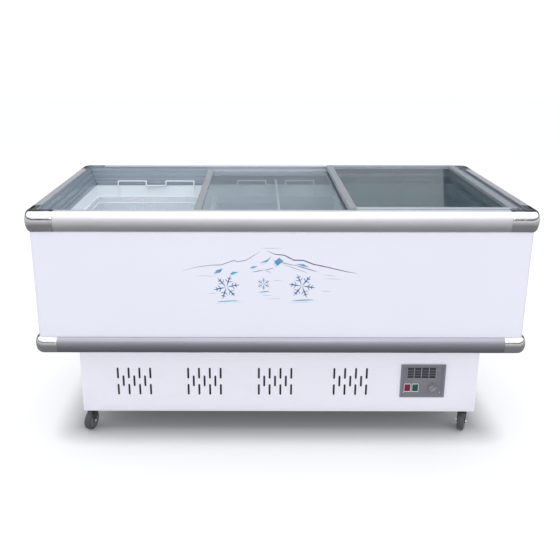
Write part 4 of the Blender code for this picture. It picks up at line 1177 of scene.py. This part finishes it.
knob_low, knob_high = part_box("thermostat_knob")
knob_centre = Vector(((knob_low.x + knob_high.x) / 2, 0, (knob_low.z + knob_high.z) / 2))
KNOB_R = (knob_high.x - knob_low.x) / 2
KNOB_FLUTES = 20
knob_front, knob_back = knob_low.y, FACE_Y - 0.0006
bm = bmesh.new()
sides = KNOB_FLUTES * 4
rings = []
for y, radius, flute in (
    (knob_back, KNOB_R - 0.0004, 0.0),
    (knob_back - 0.0010, KNOB_R - 0.0004, 0.0),
    (knob_back - 0.0016, KNOB_R - 0.0024, 0.0004),
    (knob_front + 0.0050, KNOB_R - 0.0030, 0.0004),
    (knob_front + 0.0040, KNOB_R - 0.0040, 0.0002),
):
    ring = []
    for k in range(sides):
        a = 2 * math.pi * k / sides
        r = radius - flute * (1 - math.cos(KNOB_FLUTES * a)) / 2
        ring.append(knob_centre + Vector((r * math.cos(a), y, r * math.sin(a))))
    rings.append(ring)
loft(bm, rings)
KNOB_REST = math.radians(45)


def swung_block(low, high, radius, angle, segments=2):
    """A block turned about the knob's own axis, as seen from the front."""
    made = bmesh.new()
    block(made, low, high, radius, segments)
    bmesh.ops.rotate(made, verts=made.verts, cent=(0, 0, 0), matrix=Matrix.Rotation(-angle, 3, "Y"))
    bmesh.ops.translate(made, verts=made.verts, vec=knob_centre)
    return made


grip_reach = KNOB_R - 0.0035
grip_low = (-grip_reach, knob_front, -0.0030)
grip = swung_block(grip_low, (grip_reach, knob_front + 0.0046, 0.0030), 0.0011, KNOB_REST, 3)
new_piece("knob_skirt", bm, DIAL_GREY, "knob_grey", "knob_body", ["thermostat_knob"])
new_piece("knob_grip", grip, DIAL_GREY, "knob_grey", "knob_body")
line_reach = grip_reach - 0.0012
line_low = (-line_reach, knob_front + 0.00005, -0.0007)
line = swung_block(line_low, (line_reach, knob_front + 0.0010, 0.0007), 0.0002, KNOB_REST)
new_piece("knob_pointer", line, PALE_PLASTIC, "knob_grey", "knob_body")

# %% Scale marks and panel screws
bm = bmesh.new()
MARKS = 9
for k in range(MARKS):
    a = math.radians(-45 + 270 * k / (MARKS - 1))
    radius = KNOB_R + 0.0022
    long = 0.0017 if k % 2 == 0 else 0.0010
    mark_low = (radius - long, FACE_Y - 0.0004, -0.0005)
    absorb(bm, swung_block(mark_low, (radius + long, FACE_Y + 0.0001, 0.0005), 0.0001, a))
new_piece("dial_marks", bm, WINDOW_BLACK, "panel_grey")

PANEL_SCREW = [(0, 0.0012), (0.0018, 0.0010), (0.0028, 0.0002), (0.0028, -0.0002), (0, -0.0002)]
SCREW_INSET = (0.0145, 0.0165)
bm = bmesh.new()
for x in (bezel_low.x + SCREW_INSET[0], bezel_high.x - SCREW_INSET[0]):
    place = Matrix.Translation((x, FACE_Y, bezel_low.z + SCREW_INSET[1]))
    place = place @ Matrix.Rotation(math.pi / 2, 4, "X")
    turned(bm, PANEL_SCREW, 20, place)
new_piece("panel_screws", bm, ZINC, None)
print("panel face at y =", round(FACE_Y, 4))

# %% [markdown]
# ## Casters
# Each caster is a pressed fork under a ball race, a bolt with nuts, and a wheel with a grey hub and a rubber
# tyre. All are built about the axle and then set in place by the wheel joint's own axis, so a caster stands
# at the angle at which its solid was left.

# %% Caster parts
TRAIL = 0.022
AXLE_Z = 0.0375
TYRE_R = 0.0374
TYRE_HALF = 0.0123
TYRE = [(0.0262, -0.0104), (0.0330, -TYRE_HALF), (0.0358, -0.0108), (TYRE_R, -0.0072), (TYRE_R, -0.0024)]
TYRE += [(TYRE_R - 0.0006, -0.0016)]
HUB = [(0.0048, -0.0126), (0.0098, -0.0126), (0.0108, -0.0112), (0.0112, -0.0086), (0.0225, -0.0078)]
HUB += [(0.0238, -0.0100), (0.0264, -0.0106)]
SPOKES = 5
RACE = [(0, 0.0560), (0.0150, 0.0560), (0.0175, 0.0585), (0.0175, 0.0605), (0, 0.0605)]
RACE_RING = [(0, 0.0604), (0.0166, 0.0604), (0.0172, 0.0616), (0.0166, 0.0632), (0, 0.0632)]
PIN_END = [(0, 0.0224), (0.0028, 0.0220), (0.0032, 0.0214), (0.0032, 0.0160), (0, 0.0160)]


def mirrored(profile):
    return profile + [(radius, -height) for radius, height in reversed(profile)]


def moved(bm, matrix):
    bmesh.ops.transform(bm, matrix=matrix, verts=bm.verts)


def hexagon(bm, x_low, x_high, radius):
    """A six-sided nut on the axle with its corners turned off."""
    chamfer = math.copysign(0.0007, x_high - x_low)
    across = [(x_low, radius), (x_high - chamfer, radius), (x_high, radius - 0.0009)]
    rings = []
    for x, r in across:
        angles = [math.radians(60 * k) for k in range(6)]
        rings.append([(x, r * math.cos(a), r * math.sin(a)) for a in angles])
    loft(bm, rings)


def make_caster(corner):
    low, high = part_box(f"caster_wheel_{corner}")
    joint = next(item for item in frame["joints"] if item["name"] == f"wheel_{corner}_spin")
    axis = Vector(joint["axis"]).normalized()
    ahead = Vector((0, 0, 1)).cross(axis)
    turn = Matrix((axis, ahead, (0, 0, 1))).transposed().to_4x4()
    centre = (low + high) / 2
    centre.z = AXLE_Z
    place = Matrix.Translation(centre) @ turn
    onto_axle = Matrix.Rotation(math.pi / 2, 4, "Y")

    bm = bmesh.new()
    turned(bm, mirrored(TYRE), 48, onto_axle, closed=True)
    moved(bm, place)
    new_piece(f"tyre_{corner}", bm, RUBBER, "wheel_rubber", f"wheel_{corner}", [f"caster_wheel_{corner}"])

    bm = bmesh.new()
    turned(bm, mirrored(HUB), 40, onto_axle, closed=True)
    for k in range(SPOKES):
        for side in (-1, 1):
            near, far = sorted((side * 0.0070, side * 0.0098))
            rib = bmesh.new()
            block(rib, (near, 0.0105, -0.0014), (far, 0.0242, 0.0014), 0.0006)
            moved(rib, Matrix.Rotation(2 * math.pi * k / SPOKES, 4, "X"))
            absorb(bm, rib)
    moved(bm, place)
    new_piece(f"hub_{corner}", bm, HUB_GREY, "wheel_rubber", f"wheel_{corner}")

    bm = bmesh.new()
    for side in (-1, 1):
        outline = [(0.0045, 0.0480), (-0.0085, 0.0040)] + arc((0, 0), (0.0090, 0.0090), 180, 360, 10)
        outline += [(0.0092, 0.0040), (0.0385, 0.0400), (0.0385, 0.0480)]
        rings = []
        for x, grow in ((0.0138, 0.0), (0.0140, 0.0003), (0.0160, 0.0003), (0.0163, 0.0)):
            middle = Vector((0.012, 0.022))
            ring = []
            for point in outline:
                offset = (Vector(point) - middle).normalized() * (grow - 0.0003)
                ring.append((side * x, point[0] + offset.x, point[1] + offset.y))
            rings.append(ring)
        loft(bm, rings)
    block(bm, (-0.0163, 0.0042, 0.0468), (0.0163, 0.0398, 0.0568), 0.0022, 3)
    head = Matrix.Translation((0, TRAIL, 0))
    turned(bm, RACE, 36, head)
    moved(bm, place)
    swivel = f"swivel_{corner}"
    new_piece(f"fork_{corner}", bm, CASTER_BLACK, "caster_black", swivel, [f"caster_fork_{corner}"])

    bm = bmesh.new()
    turned(bm, RACE_RING, 36, head)
    for side in (-1, 1):
        hexagon(bm, side * 0.0162, side * 0.0202, 0.0062)
        outward = onto_axle if side > 0 else onto_axle @ Matrix.Rotation(math.pi, 4, "X")
        turned(bm, PIN_END, 16, outward)
    moved(bm, place)
    new_piece(f"axle_nuts_{corner}", bm, ZINC, None, swivel)


for corner in CORNERS:
    make_caster(corner)
print("caster pieces:", 4 * len(CORNERS))

# %% [markdown]
# ## Printed scene on the front
# The front skin carries a thin printed film: a line drawing of a ridge above ice. It is a drawing of its own
# here, with plain six-armed snowflakes above the snow. Each stroke is a strip of film a tenth of a
# millimetre thick, broad in its middle and thin at its ends, as a brush leaves it.

# %% Inks
def ink(name, colour, roughness=0.35):
    material, tree, shader = new_material(name, roughness)
    tone = use(tree, TONE_DRIFT, Colour=(*colour, 1.0), Scale=26.0, Amount=0.10)
    marks = use(tree, SMUDGES, Scale=40.0, Amount=0.25)["Mask"]
    fill(tree, shader.inputs["Base Color"], mix(tree, marks, tone["Colour"], (0.80, 0.80, 0.885, 1.0)))
    fill(tree, shader.inputs["Roughness"], maths(tree, "ADD", marks, roughness - 0.05))
    link_bump(tree, shader, use(tree, ORANGE_PEEL, Scale=260.0)["Height"], 0.00003)
    return material


INKS = {
    "navy": ink("navy_ink", (0.028, 0.035, 0.11)),
    "slate": ink("slate_ink", (0.16, 0.22, 0.30)),
    "blue": ink("blue_ink", (0.060, 0.30, 0.56)),
    "pale": ink("pale_ink", (0.62, 0.76, 0.90)),
    "shade": ink("shade_ink", (0.50, 0.52, 0.62)),
}
LAYERS = {"pale": 0.00005, "shade": 0.00006, "blue": 0.00009, "slate": 0.00011, "navy": 0.00013}
prints = {name: bmesh.new() for name in INKS}


def stroke(colour, points, width):
    """A brush stroke through (x, z) points, broad in the middle and thin at the ends."""
    points = [Vector(point) for point in points]
    top = front_low.y - LAYERS[colour]
    rings = []
    for i, point in enumerate(points):
        along = (points[min(i + 1, len(points) - 1)] - points[max(i - 1, 0)]).normalized()
        share = i / (len(points) - 1)
        half = width / 2 * max(0.12, math.sin(math.pi * share) ** 0.6)
        side = Vector((-along.y, along.x)) * half
        left, right = point + side, point - side
        rings.append(
            [
                (left.x, front_low.y, left.y),
                (left.x, top, left.y),
                (right.x, top, right.y),
                (right.x, front_low.y, right.y),
            ]
        )
    loft(prints[colour], rings)


def patch(colour, outline):
    """A filled shape through (x, z) points."""
    top = front_low.y - LAYERS[colour]
    loft(prints[colour], [[(x, y, z) for x, z in outline] for y in (front_low.y, top)])


def between(points, steps):
    """More points along a line, so that a stroke can swell smoothly."""
    fuller = []
    for a, b in zip(points, points[1:]):
        fuller += [Vector(a).lerp(Vector(b), k / steps) for k in range(steps)]
    return fuller + [Vector(points[-1])]


# %% Ridge and snow lines
RIDGE_LEFT = [(-0.352, 0.716), (-0.296, 0.731), (-0.246, 0.738), (-0.212, 0.739), (-0.168, 0.755)]
RIDGE_LEFT += [(-0.150, 0.751), (-0.122, 0.757), (-0.094, 0.776), (-0.074, 0.790)]
RIDGE_RIGHT = [(-0.052, 0.791), (-0.024, 0.779), (0.010, 0.775), (0.044, 0.757), (0.078, 0.756)]
RIDGE_RIGHT += [(0.112, 0.742), (0.170, 0.729), (0.226, 0.715), (0.268, 0.707)]
stroke("slate", between(RIDGE_LEFT, 3), 0.0028)
stroke("navy", between(RIDGE_RIGHT, 3), 0.0040)
for start, finish, width in (
    ((-0.032, 0.757), (0.052, 0.735), 0.0030),
    ((0.040, 0.741), (0.132, 0.712), 0.0034),
    ((0.004, 0.742), (0.096, 0.708), 0.0018),
    ((-0.104, 0.712), (-0.058, 0.721), 0.0030),
    ((-0.058, 0.721), (-0.034, 0.708), 0.0018),
    ((-0.060, 0.719), (-0.026, 0.728), 0.0026),
):
    stroke("slate", between([start, finish], 5), width)
for start, finish in (
    ((-0.300, 0.699), (-0.232, 0.696)),
    ((0.146, 0.703), (0.196, 0.697)),
    ((0.148, 0.688), (0.214, 0.685)),
    ((0.142, 0.640), (0.180, 0.639)),
    ((-0.262, 0.632), (-0.226, 0.632)),
    ((-0.070, 0.623), (-0.030, 0.624)),
    ((-0.052, 0.611), (0.004, 0.611)),
    ((-0.074, 0.8005), (0.006, 0.801)),
    ((-0.030, 0.681), (0.004, 0.681)),
):
    stroke("shade", between([start, finish], 5), 0.0022)

# %% Ice facets and snowflakes
FACETS = (
    ((-0.238, 0.706), (-0.228, 0.719), (-0.206, 0.726), (-0.214, 0.711)),
    ((-0.182, 0.704), (-0.170, 0.714), (-0.150, 0.712), (-0.172, 0.702)),
    ((-0.112, 0.727), (-0.098, 0.735), (-0.082, 0.733), (-0.100, 0.726)),
    ((-0.078, 0.746), (-0.050, 0.758), (-0.034, 0.772), (-0.050, 0.750)),
    ((-0.026, 0.750), (-0.008, 0.766), (0.008, 0.754), (-0.014, 0.736)),
    ((0.052, 0.742), (0.078, 0.742), (0.098, 0.731), (0.074, 0.734)),
)
for outline in FACETS:
    patch("blue", outline)
    patch("pale", [(x - 0.004, z - 0.008) for x, z in outline])


def ray(centre, degrees, reach):
    """The point at a distance from a centre, in a direction measured from the right."""
    angle = math.radians(degrees)
    return (centre[0] + reach * math.cos(angle), centre[1] + reach * math.sin(angle))


def snowflake(centre, reach, lean=0.0):
    """Six arms, each with two pairs of twigs, round a small pale hexagon."""
    patch("pale", [ray(centre, lean + 60 * k, reach * 0.20) for k in range(6)])
    for k in range(6):
        heading = lean + 60 * k
        tip = ray(centre, heading, reach)
        stroke("navy", between([ray(centre, heading, reach * 0.10), tip], 6), reach * 0.085)
        for share, length in ((0.42, 0.34), (0.68, 0.22)):
            root = ray(centre, heading, reach * share)
            for swing in (-58, 58):
                twig = ray(root, heading + swing, reach * length)
                stroke("blue", between([root, twig], 4), reach * 0.075)


for centre, reach, lean in (
    ((-0.194, 0.655), 0.047, 12.0),
    ((-0.062, 0.668), 0.024, 30.0),
    ((0.074, 0.660), 0.048, -8.0),
):
    snowflake(centre, reach, lean)
    x, low = centre[0], centre[1] - reach - 0.008
    stroke("slate", between([(x - reach * 0.7, low), (x + reach * 0.9, low + 0.004)], 6), 0.0036)
    stroke("pale", between([(x - reach * 0.9, low - 0.006), (x + reach * 1.3, low)], 6), 0.0100)
for name, bm in prints.items():
    new_piece(f"print_{name}", bm, INKS[name], None)
print("inks:", len(prints))

# %% [markdown]
# ## Floor, sky and lights
# The freezer stands on a plain pale floor, which is given a slight painted glow except close under the
# plinth, where its colour is also painted darker as a painted shade, so that only the contact shade stays
# dark. Most of the light is an even white room. A broad softbox overhead and four weak ones round the sides
# only shape it.
# What glass and polished metal mirror is also the room: mirrored rays see a bright ceiling, a dark line at
# the horizon, a grey floor and a dark wall behind the cabinet, while the camera sees plain white.

# %% Floor
FLOOR_HALF = 14.0
FLOOR_FINISH, tree, shader = new_material("floor_finish", 0.85)
tone = use(tree, TONE_DRIFT, Colour=(0.88, 0.88, 0.88, 1.0), Scale=0.6, Amount=0.004)
SHADE_HALF = (0.78, 0.27)
SHADE_FADE = 0.13
place = add(tree, "SeparateXYZ", None, Vector=add(tree, "TexCoord").outputs["Object"])
past = []
for axis, half in zip("XY", SHADE_HALF):
    away = maths(tree, "SUBTRACT", maths(tree, "ABSOLUTE", place.outputs[axis]), half)
    past.append(maths(tree, "MAXIMUM", away, 0.0))
squared = maths(tree, "ADD", maths(tree, "POWER", past[0], 2.0), maths(tree, "POWER", past[1], 2.0))
distance = maths(tree, "SQRT", squared)
open_floor = spread(tree, distance, 0.0, SHADE_FADE)
# Painted shade: the floor's colour turns darker close under the plinth.
painted_floor_shade = mix(tree, open_floor, (0.62, 0.62, 0.63, 1.0), tone["Colour"])
fill(tree, shader.inputs["Base Color"], painted_floor_shade)
shader.inputs["Emission Color"].default_value = (1.0, 1.0, 1.0, 1.0)
# Painted light: the floor glows away from the plinth and not under it.
fill(tree, shader.inputs["Emission Strength"], spread(tree, distance, 0.0, SHADE_FADE, 0.0, 0.24))
link_bump(tree, shader, use(tree, ORANGE_PEEL, Scale=40.0)["Height"], 0.0001)
mesh = bpy.data.meshes.new("floor")
bm = bmesh.new()
bmesh.ops.create_grid(bm, x_segments=8, y_segments=8, size=FLOOR_HALF)
bm.to_mesh(mesh)
bm.free()
mesh.materials.append(FLOOR_FINISH)
floor = bpy.data.objects.new("floor", mesh)
scene.collection.objects.link(floor)
floor.visible_glossy = False

# %% Room seen by each kind of ray
world = bpy.data.worlds.new("room")
scene.world = world
world.use_nodes = True
tree = world.node_tree
tree.nodes.clear()
direction = add(tree, "SeparateXYZ", None, Vector=add(tree, "TexCoord").outputs["Generated"])
up = spread(tree, direction.outputs["Z"], -1.0, 1.0)
ramp = tree.nodes.new("ShaderNodeValToRGB")
ROOM = (
    (-1.00, 0.15),
    (-0.42, 0.19),
    (-0.22, 0.42),
    (-0.12, 0.60),
    (-0.085, 0.80),
    (-0.070, 0.02),
    (0.030, 0.02),
    (0.050, 0.90),
    (0.30, 1.0),
    (1.00, 1.0),
)
elements = ramp.color_ramp.elements
elements.remove(elements[1])
for i, (height, shade) in enumerate(ROOM):
    item = elements[0] if i == 0 else elements.new((height + 1) / 2)
    item.position = (height + 1) / 2
    item.color = (shade, shade, shade * 1.02, 1.0)
tree.links.new(up, ramp.inputs[0])
behind = spread(tree, direction.outputs["Y"], 0.15, 0.45)
below_ceiling = spread(tree, direction.outputs["Z"], 0.62, 0.42)
above_floor = spread(tree, direction.outputs["Z"], -0.10, -0.06)
low_down = spread(tree, direction.outputs["Z"], 0.10, 0.02)
wall = maths(tree, "MULTIPLY", behind, maths(tree, "MULTIPLY", below_ceiling, above_floor), clamp=True)
skirting = maths(tree, "MULTIPLY", behind, maths(tree, "MULTIPLY", low_down, above_floor), clamp=True)
back_room = mix(tree, wall, ramp.outputs[0], (0.055, 0.066, 0.078, 1.0))
mirrored_room = mix(tree, skirting, back_room, (0.02, 0.02, 0.022, 1.0))
rays = add(tree, "LightPath").outputs
soft_room = mix(tree, rays["Is Glossy Ray"], (0.95, 0.96, 1.0, 1.0), mirrored_room)
ROOM_LIGHT = 0.88
strength = mix(tree, rays["Is Glossy Ray"], (ROOM_LIGHT,) * 3 + (1.0,), (1.25, 1.25, 1.25, 1.0))
seen = mix(tree, rays["Is Camera Ray"], soft_room, (1.0, 1.0, 1.0, 1.0))
power = mix(tree, rays["Is Camera Ray"], strength, (1.1, 1.1, 1.1, 1.0))
background = add(tree, "Background", None, Color=seen, Strength=power)
out = tree.nodes.new("ShaderNodeOutputWorld")
tree.links.new(background.outputs[0], out.inputs[0])

# %% Softboxes
def softbox(name, position, aim, size, power):
    light = bpy.data.lights.new(name, "AREA")
    light.shape = "RECTANGLE"
    light.size, light.size_y = size
    light.energy = power
    lamp = bpy.data.objects.new(name, light)
    lamp.location = position
    lamp.rotation_euler = (Vector(aim) - Vector(position)).to_track_quat("-Z", "Y").to_euler()
    scene.collection.objects.link(lamp)


middle = (cad_low + cad_high) / 2
SOFTBOXES = {
    "ceiling_softbox": ((0.0, -0.2, 3.4), (0.0, 0.0, 0.0), (5.0, 4.0), 26.0),
    "front_softbox": ((0.0, -4.6, 2.0), middle, (4.0, 2.4), 14.0),
    "left_softbox": ((-4.2, -0.6, 1.8), middle, (2.4, 2.0), 6.0),
    "right_softbox": ((4.2, -0.6, 1.8), middle, (2.4, 2.0), 6.0),
    "rear_softbox": ((0.0, 4.4, 2.2), middle, (4.0, 2.0), 6.0),
}
for name, (position, aim, size, power) in SOFTBOXES.items():
    softbox(name, position, aim, size, power)
print("lights:", len(SOFTBOXES))
